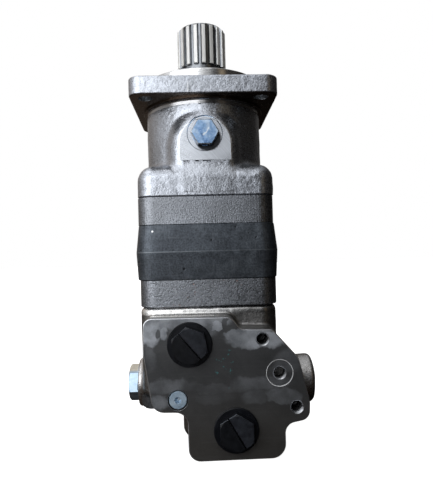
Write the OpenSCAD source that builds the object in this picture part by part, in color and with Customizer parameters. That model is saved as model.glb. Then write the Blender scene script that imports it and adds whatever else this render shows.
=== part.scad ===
// Two-speed disc-valve hydraulic motor, flange mounted, splined output shaft.
// Millimetres. Origin: centre of the mounting face on the shaft axis. +Z points out of the
// shaft end, the face with the ports looks toward -Y.

/* [Mounting flange] */
// side of the square mounting flange
flange_w = 146.4; // [143:0.1:149]
// thickness of the mounting flange
flange_t = 17.4; // [15:0.1:20]
// corner radius of the flange
flange_r = 13; // [10:0.5:17]
// spacing of the four mounting holes, along X and along Y
hole_pitch = 114.5; // [114.3:0.1:115]
// radius of the mounting holes
hole_r = 7.15; // [6.6:0.05:7.6]
// pilot radius
pilot_r = 63.5; // [63.4:0.1:63.6]
// pilot height
pilot_h = 11.1; // [10.8:0.1:12.7]

/* [Shaft] */
// position of the shaft tip
tip_z = 75.1; // [72:0.1:82]
// position of the lower end of the spline teeth
spline_z = 31.3; // [28:0.1:36]
// spline tip radius
spline_r = 26.9; // [26.4:0.1:27.4]
// number of spline teeth
spline_n = 19; // [17:1:20]
// angle of the first spline tooth
spline_a = -85; // [-100:1:-70]

/* [Body] */
// half width of the square body sections
body_h = 67.3; // [66.5:0.05:68]
// corner radius of the body sections
body_r = 16; // [14:0.5:17]
// extra half width of the roller ring at its parting line
ring_bulge = 2.7; // [1.5:0.1:3.5]
// radius of the round neck
neck_r = 61.6; // [60.6:0.1:62.4]
// distance of the four long bolts from the axis, along X and along Y
bolt_c = 54; // [53.5:0.1:54.5]

/* [Port face] */
// how far the port face stands in front of the axis
face_y = 92; // [88:0.5:96]
// radius of the two main port threads
port_r = 16.67; // [16.5:0.01:16.8]
// radius of the two screw holes of the port face
tap_r = 5.3; // [4.2:0.1:6.2]

/* [Assembly] */
// travel of the selector spool
spool_travel = 10; // [4:0.5:12]

/* [Hidden] */
z1 = -115.2;   // bearing housing to wear plate
z2 = -143.0;   // wear plate to roller ring
z3 = -196.4;   // roller ring to valve plate
z4 = -222.7;   // valve plate to valve housing
z5 = -309;     // seat of the long bolts
fz = -face_y;
bore_r = 50;
// case drain
cd_x = 0.3;
cd_z = -54.3;
cd_y = -64.1;
// ports
ax_ = -18.9;  az_ = -253.8;
bx_ = 21.5;   bz_ = -332.4;
sx_ = 62.4;   sz_ = -282.5;
px_ = -30.7;  pz_ = -303.8;
t1x = 47.6;   t1z = -251.1;
t2x = 77.3;   t2z = -313.6;
// selector
sel_y = -24;
sel_z = -304.2;
sel_x0 = -73;
// rolling gear set
g_n = 9;
g_R = 46;
g_rho = 7.5;
g_e = 3.2;
g_cl = 0.06;
// drives
md_z0 = -88;     // front crown of the main drive
md_z1 = -158;    // rear crown of the main drive
vd_z0 = -188.5;  // front crown of the valve drive
vd_z1 = -245;    // rear crown of the valve drive
md_tilt = atan(g_e / (md_z0 - md_z1));
vd_tilt = atan(g_e / (vd_z0 - vd_z1));
// bearings
tb_R = 41.2;
tb_a = 12;
tb_t = 2.15;
tb_m = 3.9;
fb_z = -24.5;
rb_z = -75.5;

// ---------- helpers ----------
// square with rounded corners, h = half side
module rsq(h, r) {
  square([2*h, 2*(h - r)], center = true);
  square([2*(h - r), 2*h], center = true);
  for (x = [-1, 1], y = [-1, 1]) translate([x*(h - r), y*(h - r)]) circle(r, $fn = 48);
}
// plate from z0 up to zt with chamfered rims, c0 below and c1 above
module plate(h, r, z0, zt, c0, c1) hull() {
  translate([0, 0, z0]) linear_extrude(0.01) rsq(h - c0, r - c0);
  translate([0, 0, z0 + c0]) linear_extrude(zt - z0 - c0 - c1) rsq(h, r);
  translate([0, 0, zt - 0.01]) linear_extrude(0.01) rsq(h - c1, r - c1);
}
// block with a rounded upper rim, from z0 up to zt
module soft_block(h, r, re, z0, zt) {
  translate([0, 0, z0]) linear_extrude(zt - re - z0) rsq(h, r);
  translate([0, 0, z0]) linear_extrude(zt - z0) rsq(h - re, max(r - re, 0.5));
  for (s = [-1, 1]) {
    translate([0, s*(h - re), zt - re]) rotate([0, 90, 0]) cylinder(r = re, h = 2*(h - r), center = true, $fn = 64);
    translate([s*(h - re), 0, zt - re]) rotate([90, 0, 0]) cylinder(r = re, h = 2*(h - r), center = true, $fn = 64);
    for (t = [-1, 1]) translate([s*(h - r), t*(h - r), zt - re]) rotate_extrude($fn = 64) {
      square([max(r - re, 0.1), re]);
      intersection() { translate([max(r - re, 0), 0]) circle(re, $fn = 64); square([r + 1, re]); }
    }
  }
}
// cylinder along +X and along -Y, from a point
module cyl_x(x0, x1, y, z, r, fn = 64) translate([x0, y, z]) rotate([0, 90, 0]) cylinder(r = r, h = x1 - x0, $fn = fn);
module cyl_y(y0, y1, x, z, r, fn = 64) translate([x, y1, z]) rotate([90, 0, 0]) cylinder(r = r, h = y1 - y0, $fn = fn);
module cone_y(y0, y1, x, z, r0, r1, fn = 64) translate([x, y1, z]) rotate([90, 0, 0]) cylinder(r1 = r1, r2 = r0, h = y1 - y0, $fn = fn);
module ring_z(z0, z1, ri, ro, fn = 96) translate([0, 0, z0]) difference() {
  cylinder(r = ro, h = z1 - z0, $fn = fn);
  translate([0, 0, -1]) cylinder(r = ri, h = z1 - z0 + 2, $fn = fn);
}
module oring(R, r, fn = 72) rotate_extrude($fn = fn) translate([R, 0]) circle(r, $fn = 20);
// hexagon across flats
module hexa(af, h) cylinder(r = af/2/cos(30), h = h, $fn = 6);
// rounded closed outline: corners [x, y, radius]
function unit(v) = v / norm(v);
function arc_pts(p, c, q, r, n) =
  let (u = unit(p - c), v = unit(q - c), k = acos(max(-1, min(1, u*v))),
       d = r / tan(k/2), b = unit(u + v), o = c + b*(r / sin(k/2)),
       s = c + u*d - o, e = c + v*d - o,
       a0 = atan2(s[1], s[0]), da0 = atan2(e[1], e[0]) - a0,
       da = da0 > 180 ? da0 - 360 : (da0 < -180 ? da0 + 360 : da0))
  [for (i = [0:n]) o + r*[cos(a0 + da*i/n), sin(a0 + da*i/n)]];
function round_poly(c, n = 8) = [for (i = [0:len(c) - 1])
  let (a = c[(i + len(c) - 1) % len(c)], b = c[i], d = c[(i + 1) % len(c)])
  each arc_pts([a[0], a[1]], [b[0], b[1]], [d[0], d[1]], b[2], n)];
// toothed outline: n teeth, root radius, tip radius, half angles at root and tip
function teeth(n, rr, rt, hr, ht, a0 = 0) = [for (i = [0:n - 1]) let (a = a0 + 360*i/n)
  each [[rr*cos(a - hr), rr*sin(a - hr)], [rt*cos(a - ht), rt*sin(a - ht)],
        [rt*cos(a), rt*sin(a)],
        [rt*cos(a + ht), rt*sin(a + ht)], [rr*cos(a + hr), rr*sin(a + hr)]]];
// inside outline of a broached spline: the gaps reach rt, the lands rr
module inner_spline(n, rr, rt, hg) polygon([for (i = [0:n - 1]) let (a = 360*i/n, b = 180/n)
  each [[rr*cos(a - hg*1.12), rr*sin(a - hg*1.12)], [rt*cos(a - hg*0.86), rt*sin(a - hg*0.86)],
        [rt*cos(a), rt*sin(a)],
        [rt*cos(a + hg*0.86), rt*sin(a + hg*0.86)], [rr*cos(a + hg*1.12), rr*sin(a + hg*1.12)],
        [rr*cos(a + b), rr*sin(a + b)]]]);
// star outline: parallel curve of the path of the roller centres
function gp(t) = [g_R*cos(t) - g_e*cos(9*t), g_R*sin(t) - g_e*sin(9*t)];
function gd(t) = [-g_R*sin(t) + 9*g_e*sin(9*t), g_R*cos(t) - 9*g_e*cos(9*t)];
function gs(t) = let (d = gd(t), l = norm(d)) gp(t) + (g_rho + g_cl)*[-d[1], d[0]]/l;
// points of a tapered roller set in the meridian plane, local z
function tr(s, o) = tb_R + s*sin(tb_a) + o*cos(tb_a);
function tz(s, o) = s*cos(tb_a) - o*sin(tb_a);
function th(s) = tb_m + s*tan(tb_t);
function cup_r(z) = let (ra = tr(-8, th(-8) + 0.05), za = tz(-8, th(-8) + 0.05),
  rb = tr(8, th(8) + 0.05), zb = tz(8, th(8) + 0.05)) ra + (z - za)*(rb - ra)/(zb - za);

// ---------- bearing housing ----------
module bearing_housing() color([0.62, 0.63, 0.64]) difference() {
  union() {
    translate([0, 0, -flange_t]) linear_extrude(flange_t) rsq(flange_w/2, flange_r);
    translate([0, 0, -1]) cylinder(r = pilot_r, h = pilot_h, $fn = 160);
    translate([0, 0, pilot_h - 1]) cylinder(r1 = pilot_r, r2 = pilot_r - 1, h = 1, $fn = 160);
    translate([0, 0, -flange_t - 1.6]) cylinder(r1 = 61.4, r2 = 62.8, h = 1.7, $fn = 160);
    translate([0, 0, -24]) cylinder(r = 58.4, h = 8, $fn = 160);
    translate([0, 0, -23.6]) cylinder(r1 = neck_r, r2 = 60.4, h = 0.8, $fn = 160);
    translate([0, 0, -95]) cylinder(r = neck_r, h = 95 - 23.6, $fn = 160);
    // flare at the foot of the neck
    rotate_extrude($fn = 160) difference() {
      translate([40, -92]) square([neck_r + 5 - 40, 14]);
      translate([neck_r + 24, -78]) circle(24, $fn = 160);
    }
    soft_block(body_h + 0.2, body_r, 15.5, z1, -84);
    // case drain boss and its machined pad
    cone_y(cd_y, -46, cd_x, -64.1, 24.9, 36.8, 96);
    translate([cd_x, 0, -90]) linear_extrude(25.9) polygon([[-36.8, -46], [-24.9, cd_y], [24.9, cd_y], [36.8, -46]]);
  }
  // interior
  translate([0, 0, 3.6]) cylinder(r = 60.3, h = 20, $fn = 96);
  translate([0, 0, -36]) cylinder(r = bore_r, h = 60, $fn = 96);
  translate([0, 0, -70]) cylinder(r = 45, h = 50, $fn = 96);
  translate([0, 0, z1 - 1]) cylinder(r = bore_r, h = -64 - z1 + 1, $fn = 96);
  // mounting holes
  for (x = [-1, 1], y = [-1, 1]) translate([x*hole_pitch/2, y*hole_pitch/2, -flange_t - 1]) cylinder(r = hole_r, h = flange_t + 2, $fn = 48);
  // long bolt holes
  for (x = [-1, 1], y = [-1, 1]) translate([x*bolt_c, y*bolt_c, z1 - 1]) cylinder(r = 8.05, h = -96 - z1 + 1, $fn = 40);
  // cover screw holes
  for (a = [22.5:45:350]) rotate(a) translate([55.2, 0, -12]) cylinder(r = 3.2, h = 20, $fn = 24);
  // case drain port
  cyl_y(cd_y - 5, cd_y + 0.5, cd_x, cd_z, 17);
  cyl_y(cd_y - 5, -40, cd_x, cd_z, 9.6);
  cyl_y(cd_y, cd_y + 3.2, cd_x, cd_z, 11.2);
  // straight foot of the machined pad
  translate([cd_x - 40, cd_y - 6, -86.5]) cube([80, 6.7, 6.1]);
}

// ---------- shaft group ----------
module output_shaft() color([0.74, 0.75, 0.76]) difference() {
  union() {
    intersection() {
      translate([0, 0, spline_z]) linear_extrude(tip_z - spline_z) polygon(teeth(spline_n, spline_r - 3.0, spline_r, 7.0, 3.6, spline_a));
      union() {
        translate([0, 0, spline_z]) cylinder(r1 = spline_r - 0.6, r2 = spline_r + 0.1, h = 0.7, $fn = 96);
        translate([0, 0, spline_z + 0.69]) cylinder(r = spline_r + 0.2, h = tip_z - spline_z - 4.0, $fn = 96);
        translate([0, 0, tip_z - 3.32]) cylinder(r1 = spline_r + 0.2, r2 = spline_r - 3.1, h = 3.32, $fn = 96);
      }
    }
    translate([0, 0, 12]) cylinder(r = spline_r - 3.1, h = spline_z - 11.5, $fn = 96);
    translate([0, 0, 10.9]) cylinder(r1 = 29, r2 = spline_r - 2.9, h = 3.2, $fn = 96);
    translate([0, 0, -4]) cylinder(r = 29, h = 14.95, $fn = 96);
    translate([0, 0, -13]) cylinder(r = 31.75, h = 9.2, $fn = 96);
    translate([0, 0, -88]) cylinder(r = 32.5, h = 75, $fn = 96);
    translate([0, 0, -108.5]) cylinder(r = 43.5, h = 21.45, $fn = 96);
    translate([0, 0, -109.5]) cylinder(r1 = 42.5, r2 = 43.5, h = 1.01, $fn = 96);
  }
  translate([0, 0, -110]) linear_extrude(38) inner_spline(12, 20.5, 23.2, 7.5);
  translate([0, 0, -72]) cylinder(r = 23.5, h = 5, $fn = 64);
  translate([0, 0, -67.01]) cylinder(r1 = 23.5, r2 = 12, h = 7, $fn = 64);
  translate([0, 0, -110]) cylinder(r1 = 26, r2 = 22, h = 4, $fn = 64);
  // threaded hole in the tip
  translate([0, 0, tip_z - 28]) cylinder(r = 6, h = 29, $fn = 32);
  translate([0, 0, tip_z - 2]) cylinder(r1 = 6, r2 = 8.1, h = 2.01, $fn = 32);
}
module dust_seal() color([0.05, 0.05, 0.05]) rotate_extrude($fn = 96)
  polygon([[35.93, 5.2], [35.93, 9.6], [33, 9.6], [30.4, 10.8], [29.05, 10.8], [29.05, 10.2], [31.6, 8.2], [31.6, 5.2]]);
module shaft_seal() color([0.07, 0.07, 0.08]) rotate_extrude($fn = 96)
  polygon([[39.95, -2.4], [39.95, 3.3], [31.8, 3.3], [29.05, 0.9], [29.05, 0.1], [30.6, -1.6], [33.4, -1.6], [33.4, 1.2], [37.6, 1.2], [37.6, -2.4]]);
module front_cover() color([0.55, 0.56, 0.58]) difference() {
  rotate_extrude($fn = 128) polygon([[40, -2.5], [49.94, -2.5], [49.94, -1], [47.4, -1], [47.4, 2], [49.94, 2], [49.94, 3.7], [60, 3.7],
    [60, 10], [59.4, 10.6], [36, 10.6], [36, 5.1], [32.5, 5.1], [32.5, 3.4], [40, 3.4]]);
  for (a = [22.5:45:350]) rotate(a) translate([55.2, 0, 3]) {
    cylinder(r = 3.3, h = 10, $fn = 24);
    translate([0, 0, 4.5]) cylinder(r1 = 3.3, r2 = 6.6, h = 3.3, $fn = 24);
  }
}
module cover_seal() color([0.05, 0.05, 0.05]) translate([0, 0, 0.5]) oring(48.7, 1.22);
module cover_screws() color([0.2, 0.2, 0.21]) for (a = [22.5:45:350]) rotate(a) translate([55.2, 0, 0]) difference() {
  union() {
    translate([0, 0, -10]) cylinder(r = 3, h = 18, $fn = 24);
    translate([0, 0, 7.55]) cylinder(r1 = 3, r2 = 4.95, h = 1.95, $fn = 24);
    translate([0, 0, 9.49]) cylinder(r = 4.95, h = 0.8, $fn = 24);
  }
  translate([0, 0, 8.2]) hexa(4, 3);
}

module tb_cup(f) rotate_extrude($fn = 96) polygon([[bore_r - 0.06, f*-11.4], [bore_r - 0.06, f*6], [cup_r(6), f*6], [cup_r(-11.4), f*-11.4]]);
module tb_cone(f) rotate_extrude($fn = 96) polygon([for (p = [[32.55, -11.4], [tr(-8.4, -th(-8.2) + 0.9), -11.4], [tr(-8.15, -th(-8.15) + 0.9), tz(-8.15, -th(-8.15) + 0.9)],
  [tr(-8.15, -th(-8.15) - 0.04), tz(-8.15, -th(-8.15) - 0.04)], [tr(8.15, -th(8.15) - 0.04), tz(8.15, -th(8.15) - 0.04)],
  [tr(8.15, -th(8.15) + 1.9), tz(8.15, -th(8.15) + 1.9)], [tr(8.15, -th(8.15) + 1.9) + 0.4, 11.4], [32.55, 11.4]]) [p[0], f*p[1]]]);
module tb_rollers(f) for (i = [0:21]) rotate(i*360/22) mirror([0, 0, f > 0 ? 0 : 1]) translate([tb_R, 0, 0]) rotate([0, tb_a, 0])
  translate([0, 0, -8]) cylinder(r1 = th(-8), r2 = th(8), h = 16, $fn = 20);
module tb_cage(f) difference() {
  rotate_extrude($fn = 96) polygon([for (p = [[-9.6, 0.5], [9.4, 0.5], [9.4, 1.7], [-9.6, 1.7]]) [tr(p[0], p[1]), f*tz(p[0], p[1])]]);
  for (i = [0:21]) rotate(i*360/22) mirror([0, 0, f > 0 ? 0 : 1]) translate([tb_R, 0, 0]) rotate([0, tb_a, 0])
    translate([0, 0, -8.15]) cylinder(r1 = th(-8) + 0.15, r2 = th(8) + 0.15, h = 16.3, $fn = 20);
}
module front_bearing_cup() color([0.7, 0.71, 0.72]) translate([0, 0, fb_z]) tb_cup(1);
module front_bearing_cone() color([0.7, 0.71, 0.72]) translate([0, 0, fb_z]) tb_cone(1);
module front_bearing_cage() color([0.5, 0.5, 0.5]) translate([0, 0, fb_z]) tb_cage(1);
module front_bearing_rollers() color([0.8, 0.8, 0.81]) translate([0, 0, fb_z]) tb_rollers(1);
module rear_bearing_cup() color([0.7, 0.71, 0.72]) translate([0, 0, rb_z]) tb_cup(-1);
module rear_bearing_cone() color([0.7, 0.71, 0.72]) translate([0, 0, rb_z]) tb_cone(-1);
module rear_bearing_cage() color([0.5, 0.5, 0.5]) translate([0, 0, rb_z]) tb_cage(-1);
module rear_bearing_rollers() color([0.8, 0.8, 0.81]) translate([0, 0, rb_z]) tb_rollers(-1);
module bearing_spacer() color([0.6, 0.6, 0.62]) ring_z(-64, -36, 32.55, 36.5);
module shaft_nut() color([0.35, 0.35, 0.36]) difference() {
  ring_z(-13, -4.3, 31.8, 43.5);
  for (a = [0:90:270]) rotate(a) translate([40.5, -4, -14]) cube([6, 8, 12]);
  translate([0, 0, -5]) difference() { cylinder(r = 46, h = 3, $fn = 64); translate([0, 0, -0.2]) cylinder(r1 = 43.6, r2 = 42.6, h = 1, $fn = 64); }
}
module case_drain_plug() color([0.68, 0.72, 0.78]) translate([cd_x, cd_y + 0.5, cd_z]) rotate([90, 0, 0]) {
  intersection() {
    translate([0, 0, 0.9]) hexa(24, 7.0);
    union() {
      cylinder(r = 14.2, h = 7.0, $fn = 64);
      translate([0, 0, 6.99]) cylinder(r1 = 14.0, r2 = 12.5, h = 0.92, $fn = 64);
    }
  }
  cylinder(r = 12.6, h = 1, $fn = 64);
  translate([0, 0, -3]) cylinder(r = 8.2, h = 3.1, $fn = 48);
  difference() {
    translate([0, 0, -15]) cylinder(r = 9.5, h = 12.01, $fn = 48);
    translate([0, 0, -16]) cylinder(r = 5, h = 8, $fn = 32);
  }
}
module case_drain_seal() color([0.05, 0.05, 0.05]) translate([cd_x, cd_y + 1.85, cd_z]) rotate([90, 0, 0]) oring(9.6, 1.2, 40);

// ---------- plates and roller ring ----------
module bolt_holes(z0, h) for (x = [-1, 1], y = [-1, 1]) translate([x*bolt_c, y*bolt_c, z0]) cylinder(r = 8.5, h = h, $fn = 40);
module housing_seal() color([0.05, 0.05, 0.05]) translate([0, 0, z1 - 1.25]) oring(55, 1.2);
module wear_plate() color([0.55, 0.56, 0.57]) difference() {
  translate([-0.4, 0, 0]) plate(body_h - 0.1, body_r, z2, z1, 0.4, 1.1);
  translate([0, 0, z2 - 1]) cylinder(r = 27, h = 40, $fn = 64);
  translate([0, 0, z1 - 3]) cylinder(r = 34, h = 4, $fn = 64);
  bolt_holes(z2 - 1, 40);
  translate([0, 0, z1 - 2.5]) ring_z(0, 4, 53.2, 56.8);
  translate([0, 0, z2 - 1]) ring_z(0, 3.5, 58.2, 61.8);
  for (a = [20:40:350]) rotate(a) translate([42, 0, z2 - 1]) cylinder(r = 2.5, h = 6, $fn = 24);
}
module ring_front_seal() color([0.05, 0.05, 0.05]) translate([0, 0, z2 + 1.25]) oring(60, 1.2);
module roller_ring() color([0.23, 0.25, 0.28]) difference() {
  union() {
    zm = (z2 + z3)/2;
    hull() {
      translate([0, 0, z2 - 0.01]) linear_extrude(0.01) rsq(body_h - 0.4, body_r);
      translate([0, 0, z2 - 0.6]) linear_extrude(0.1) rsq(body_h + 0.1, body_r);
      translate([0, 0, zm]) linear_extrude(0.4) rsq(body_h + ring_bulge, body_r + 1);
    }
    hull() {
      translate([0, 0, z3]) linear_extrude(0.01) rsq(body_h + 0.7, body_r);
      translate([0, 0, z3 + 0.6]) linear_extrude(0.1) rsq(body_h + 1.3, body_r);
      translate([0, 0, zm - 0.4]) linear_extrude(0.4) rsq(body_h + ring_bulge, body_r + 1);
    }
  }
  translate([0, 0, z3 - 1]) cylinder(r = 45.3, h = 60, $fn = 96);
  for (i = [0:8]) rotate(40*i) translate([g_R, 0, z3 - 1]) cylinder(r = g_rho + 0.05, h = 60, $fn = 48);
  bolt_holes(z3 - 1, 60);
}
module roller(i) color([0.78, 0.79, 0.8]) rotate(40*(i - 1)) translate([g_R, 0, z3 + 0.06]) difference() {
  union() {
    translate([0, 0, 0.4]) cylinder(r = g_rho, h = z2 - z3 - 0.92, $fn = 48);
    cylinder(r1 = g_rho - 0.4, r2 = g_rho, h = 0.41, $fn = 48);
    translate([0, 0, z2 - z3 - 0.53]) cylinder(r1 = g_rho, r2 = g_rho - 0.4, h = 0.41, $fn = 48);
  }
  translate([0, 0, z2 - z3 - 1]) cylinder(r1 = 0.6, r2 = 1.6, h = 1, $fn = 20);
}
module roller_1() roller(1);
module roller_2() roller(2);
module roller_3() roller(3);
module roller_4() roller(4);
module roller_5() roller(5);
module roller_6() roller(6);
module roller_7() roller(7);
module roller_8() roller(8);
module roller_9() roller(9);
module star() color([0.7, 0.71, 0.73]) translate([g_e, 0, z3 + 0.06]) difference() {
  linear_extrude(z2 - z3 - 0.12) polygon([for (i = [0:575]) gs(i*0.625)]);
  translate([0, 0, -1]) linear_extrude(60) inner_spline(12, 20.5, 23.2, 7.5);
}
// stepped crown of a drive end: n teeth, root and tip radius, centred on z = 0
module crown(n, rr, rt, hr, ht, c, e) {
  translate([0, 0, -c]) linear_extrude(2*c) polygon(teeth(n, rr, rt, hr, ht));
  translate([0, 0, -e]) linear_extrude(2*e) polygon(teeth(n, rr - 0.35, rt - 0.45, hr*0.9, ht*0.72));
}
module main_drive() color([0.5, 0.5, 0.52]) translate([0, 0, md_z0]) rotate([0, md_tilt*-1, 0]) {
  L = norm([g_e, md_z0 - md_z1]);
  crown(12, 19.6, 22.5, 7.1, 4.6, 5, 11);
  translate([0, 0, -L]) crown(12, 19.6, 22.5, 7.1, 4.6, 5, 11);
  rotate_extrude($fn = 64) polygon([[0, 17.5], [11, 17.5], [17.8, 11], [19.2, 10.5], [19.2, -10.5], [15.5, -16], [15.5, -L + 16], [19.2, -L + 10.5], [19.2, -L - 10.5], [16, -L - 11.5], [0, -L - 11.5]]);
}
module drive_spacer() color([0.4, 0.4, 0.42]) translate([g_e, 0, -178.6]) difference() {
  cylinder(r = 20.42, h = 6.4, $fn = 72);
  translate([0, 0, -1]) cylinder(r = 9, h = 10, $fn = 48);
}
module valve_drive() color([0.5, 0.5, 0.52]) translate([0, 0, vd_z1]) rotate([0, vd_tilt, 0]) {
  L = norm([g_e, vd_z0 - vd_z1]);
  translate([0, 0, L]) crown(12, 19.6, 22.5, 7.1, 4.6, 3.4, 6);
  crown(12, 11.9, 14.3, 7.0, 4.4, 3.4, 6);
  rotate_extrude($fn = 64) polygon([[0, -7], [11.2, -7], [11.6, -6], [11.6, 6], [9.5, 9], [9.5, L - 8.2], [19.2, L - 6], [19.2, L + 6], [17, L + 7.2], [0, L + 7.2]]);
}
module ring_rear_seal() color([0.05, 0.05, 0.05]) translate([0, 0, z3 - 1.25]) oring(60, 1.2);
module valve_plate() color([0.55, 0.56, 0.57]) difference() {
  translate([0.5, 0, 0]) plate(body_h, body_r, z4, z3, 0.9, 0.5);
  translate([0, 0, z4 - 1]) cylinder(r = 17.5, h = 40, $fn = 64);
  bolt_holes(z4 - 1, 40);
  translate([0, 0, z3 - 2.5]) ring_z(0, 4, 58.2, 61.8);
  translate([0, 0, z4 - 1]) ring_z(0, 3.5, 58.2, 61.8);
  for (i = [0:8]) rotate(20 + 40*i) {
    translate([41, 0, z4 - 1]) cylinder(r = 3.6, h = 40, $fn = 28);
    translate([32, 0, z4 - 1]) cylinder(r = 3, h = 9, $fn = 24);
  }
  for (s = [-1, 1]) translate([s*31.8, 62.4, z4 - 1]) cylinder(r = 2.55, h = 7, $fn = 24);
}
module valve_plate_seal() color([0.05, 0.05, 0.05]) translate([0, 0, z4 + 1.25]) oring(60, 1.2);
module dowel_pins() color([0.75, 0.75, 0.76]) for (s = [-1, 1]) translate([s*31.8, 62.4, z4 - 5.5]) cylinder(r = 2.5, h = 11, $fn = 24);

// ---------- valve housing ----------
function face_outline() = round_poly([[-61.0, -229.4, 8], [19.9, -230.2, 10], [27.9, -241.6, 8], [57.0, -242.6, 6], [80.3, -269.0, 14],
  [89.7, -309, 22], [89.0, -325.2, 9], [66.4, -329.2, 10], [66.4, -359.5, 13], [-22, -359.6, 11],
  [-22.6, -315.4, 11], [-53.6, -314.4, 12], [-61.4, -262, 25]]);
module face_plate(y0, y1, g = 0) translate([0, y1, 0]) rotate([90, 0, 0]) linear_extrude(y1 - y0) polygon(face_outline());
module valve_housing() color([0.33, 0.34, 0.36]) difference() {
  union() {
    // main block, rounded at its upper rim and foot
    soft_block(body_h - 0.55, body_r, 6, -290, z4);
    translate([0, 0, -303]) linear_extrude(20) rsq(body_h - 0.55, body_r);
    mirror([0, 0, 1]) soft_block(body_h - 0.55, body_r, 6, 290, 309);
    face_plate(fz, -60);
    // foot behind the tongue
    translate([6, 0, 0]) rotate([90, 0, 0]) translate([0, 0, -20]) linear_extrude(84) polygon(round_poly([[-33, -300, 2], [-33, -346, 10], [33, -346, 10], [33, -300, 2]]));
    // selector bosses
    cyl_x(sel_x0 + 2, 60, sel_y, sel_z, 24);
    translate([sel_x0, sel_y, sel_z]) rotate([0, 90, 0]) cylinder(r1 = 22, r2 = 24, h = 2.01, $fn = 64);
    cyl_x(60, 102.6, sel_y, sel_z - 1, 24);
    translate([102.59, sel_y, sel_z - 1]) rotate([0, 90, 0]) cylinder(r1 = 24, r2 = 20, h = 4.2, $fn = 64);
    intersection() {
      translate([88.7, sel_y, sel_z - 9]) sphere(r = 22, $fn = 64);
      translate([86.7, sel_y - 24, sel_z - 28]) cube([30, 48, 40]);
    }
    // web joining the port face to the right boss
    translate([0, -22, 0]) rotate([90, 0, 0]) linear_extrude(42) polygon([[40, -252], [56, -252], [76, -276], [83, -300], [83, -322], [40, -322]]);
  }
  // disc valve chamber, balance ring bore, well for the valve drive
  translate([0, 0, -240]) cylinder(r = 54, h = 30, $fn = 96);
  translate([0, 0, -266]) cylinder(r = 48.05, h = 30, $fn = 96);
  translate([0, 0, -258]) cylinder(r = 53, h = 9, $fn = 96);
  translate([0, 0, -279]) cylinder(r = 23, h = 30, $fn = 64);
  for (s = [-1, 1]) translate([s*37, 0, -273]) cylinder(r = 2.05, h = 20, $fn = 24);
  for (s = [-1, 1]) translate([s*31.8, 62.4, z4 - 6]) cylinder(r = 2.55, h = 7, $fn = 24);
  bolt_holes(z5 - 10, 100);
  for (x = [-1, 1], y = [-1, 1]) translate([x*bolt_c, y*bolt_c, z5 - 45]) cylinder(r = 14.6, h = 45, $fn = 48);
  // port A
  cyl_y(fz - 1, fz + 22, ax_, az_, port_r, 96);
  cyl_y(fz - 1, -44, ax_, az_, 11);
  // port B
  cyl_y(fz - 1, fz + 22, bx_, bz_, port_r, 96);
  cyl_y(fz - 1, 10, bx_, bz_, 10);
  translate([12, 6, -336]) cylinder(r = 8, h = 65, $fn = 40);
  // signal port
  cyl_y(fz - 1, fz + 0.35, sx_, sz_, 12.1);
  cone_y(fz - 0.01, fz + 1.5, sx_, sz_, 6.7, 5.4, 48);
  cyl_y(fz - 1, fz + 14, sx_, sz_, 5.4, 48);
  cyl_y(fz + 12, sel_y, 65.5, -284.5, 2.5, 24);
  translate([65.5, sel_y, -298]) cylinder(r = 2.5, h = 14, $fn = 24);
  // plugged cross hole
  cyl_y(fz - 1, fz + 1.6, px_, pz_, 9.4, 48);
  cyl_y(fz - 1, fz + 16, px_, pz_, 8.25, 48);
  cyl_y(fz + 12, sel_y - 8, px_, pz_, 3, 24);
  // screw holes of the port face
  for (p = [[t1x, t1z], [t2x, t2z]]) {
    cyl_y(fz - 1, fz + 24, p[0], p[1], tap_r, 48);
    cone_y(fz - 0.01, fz + 1.0, p[0], p[1], tap_r + 0.9, tap_r, 48);
  }
  // selector bore
  cyl_x(sel_x0 - 1, 95, sel_y, sel_z, 12);
  cyl_x(sel_x0 - 1, sel_x0 + 17, sel_y, sel_z, 13.5);
  cyl_x(sel_x0 - 1, sel_x0 + 2.6, sel_y, sel_z, 15.4);
  cyl_x(sel_x0 - 1, sel_x0 + 0.4, sel_y, sel_z, 18.4);
  for (x = [-28, 0, 28]) translate([x, sel_y, sel_z + 8]) cylinder(r = 4.5, h = 36, $fn = 32);
}
module disc_valve() color([0.6, 0.61, 0.63]) difference() {
  union() {
    translate([0, 0, -238]) cylinder(r = 50, h = 15.2, $fn = 96);
    translate([0, 0, -253]) cylinder(r = 21.5, h = 16, $fn = 64);
  }
  translate([0, 0, -254]) linear_extrude(40) inner_spline(12, 13, 15, 7.6);
  translate([0, 0, -228]) cylinder(r = 19.5, h = 10, $fn = 64);
  for (i = [0:15]) rotate(22.5*i) translate([41, 0, -231]) cylinder(r = 3.2, h = 10, $fn = 24);
  for (i = [0:7]) rotate(45*i) translate([41, 0, -239]) cylinder(r = 2.6, h = 10, $fn = 24);
  for (i = [0:7]) rotate(45*i + 22.5) translate([27.5, 0, -239]) rotate([0, 48, 0]) cylinder(r = 2, h = 19.5, $fn = 20);
}
module balance_ring() color([0.6, 0.61, 0.63]) difference() {
  ring_z(-260, -238.3, 24.5, 48.0);
  translate([0, 0, -247]) ring_z(0, 3.2, 45.6, 49);
  translate([0, 0, -240]) ring_z(0, 3, 32, 36);
  for (i = [0:7]) rotate(45*i + 22.5) translate([34, 0, -261]) cylinder(r = 1.6, h = 24, $fn = 20);
  for (s = [-1, 1]) translate([s*37, 0, -261]) cylinder(r = 2.05, h = 8, $fn = 24);
}
module balance_seal() color([0.05, 0.05, 0.05]) translate([0, 0, -245.4]) oring(46.85, 1.15);
module balance_spring() color([0.4, 0.4, 0.42]) rotate_extrude($fn = 72)
  polygon([[27, -265.9], [27, -264.8], [33.6, -260.1], [34.4, -260.1], [34.4, -261.2], [27.8, -265.9]]);
module balance_pins() color([0.75, 0.75, 0.76]) for (s = [-1, 1]) translate([s*37, 0, -272.5]) cylinder(r = 2, h = 19, $fn = 24);

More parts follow.
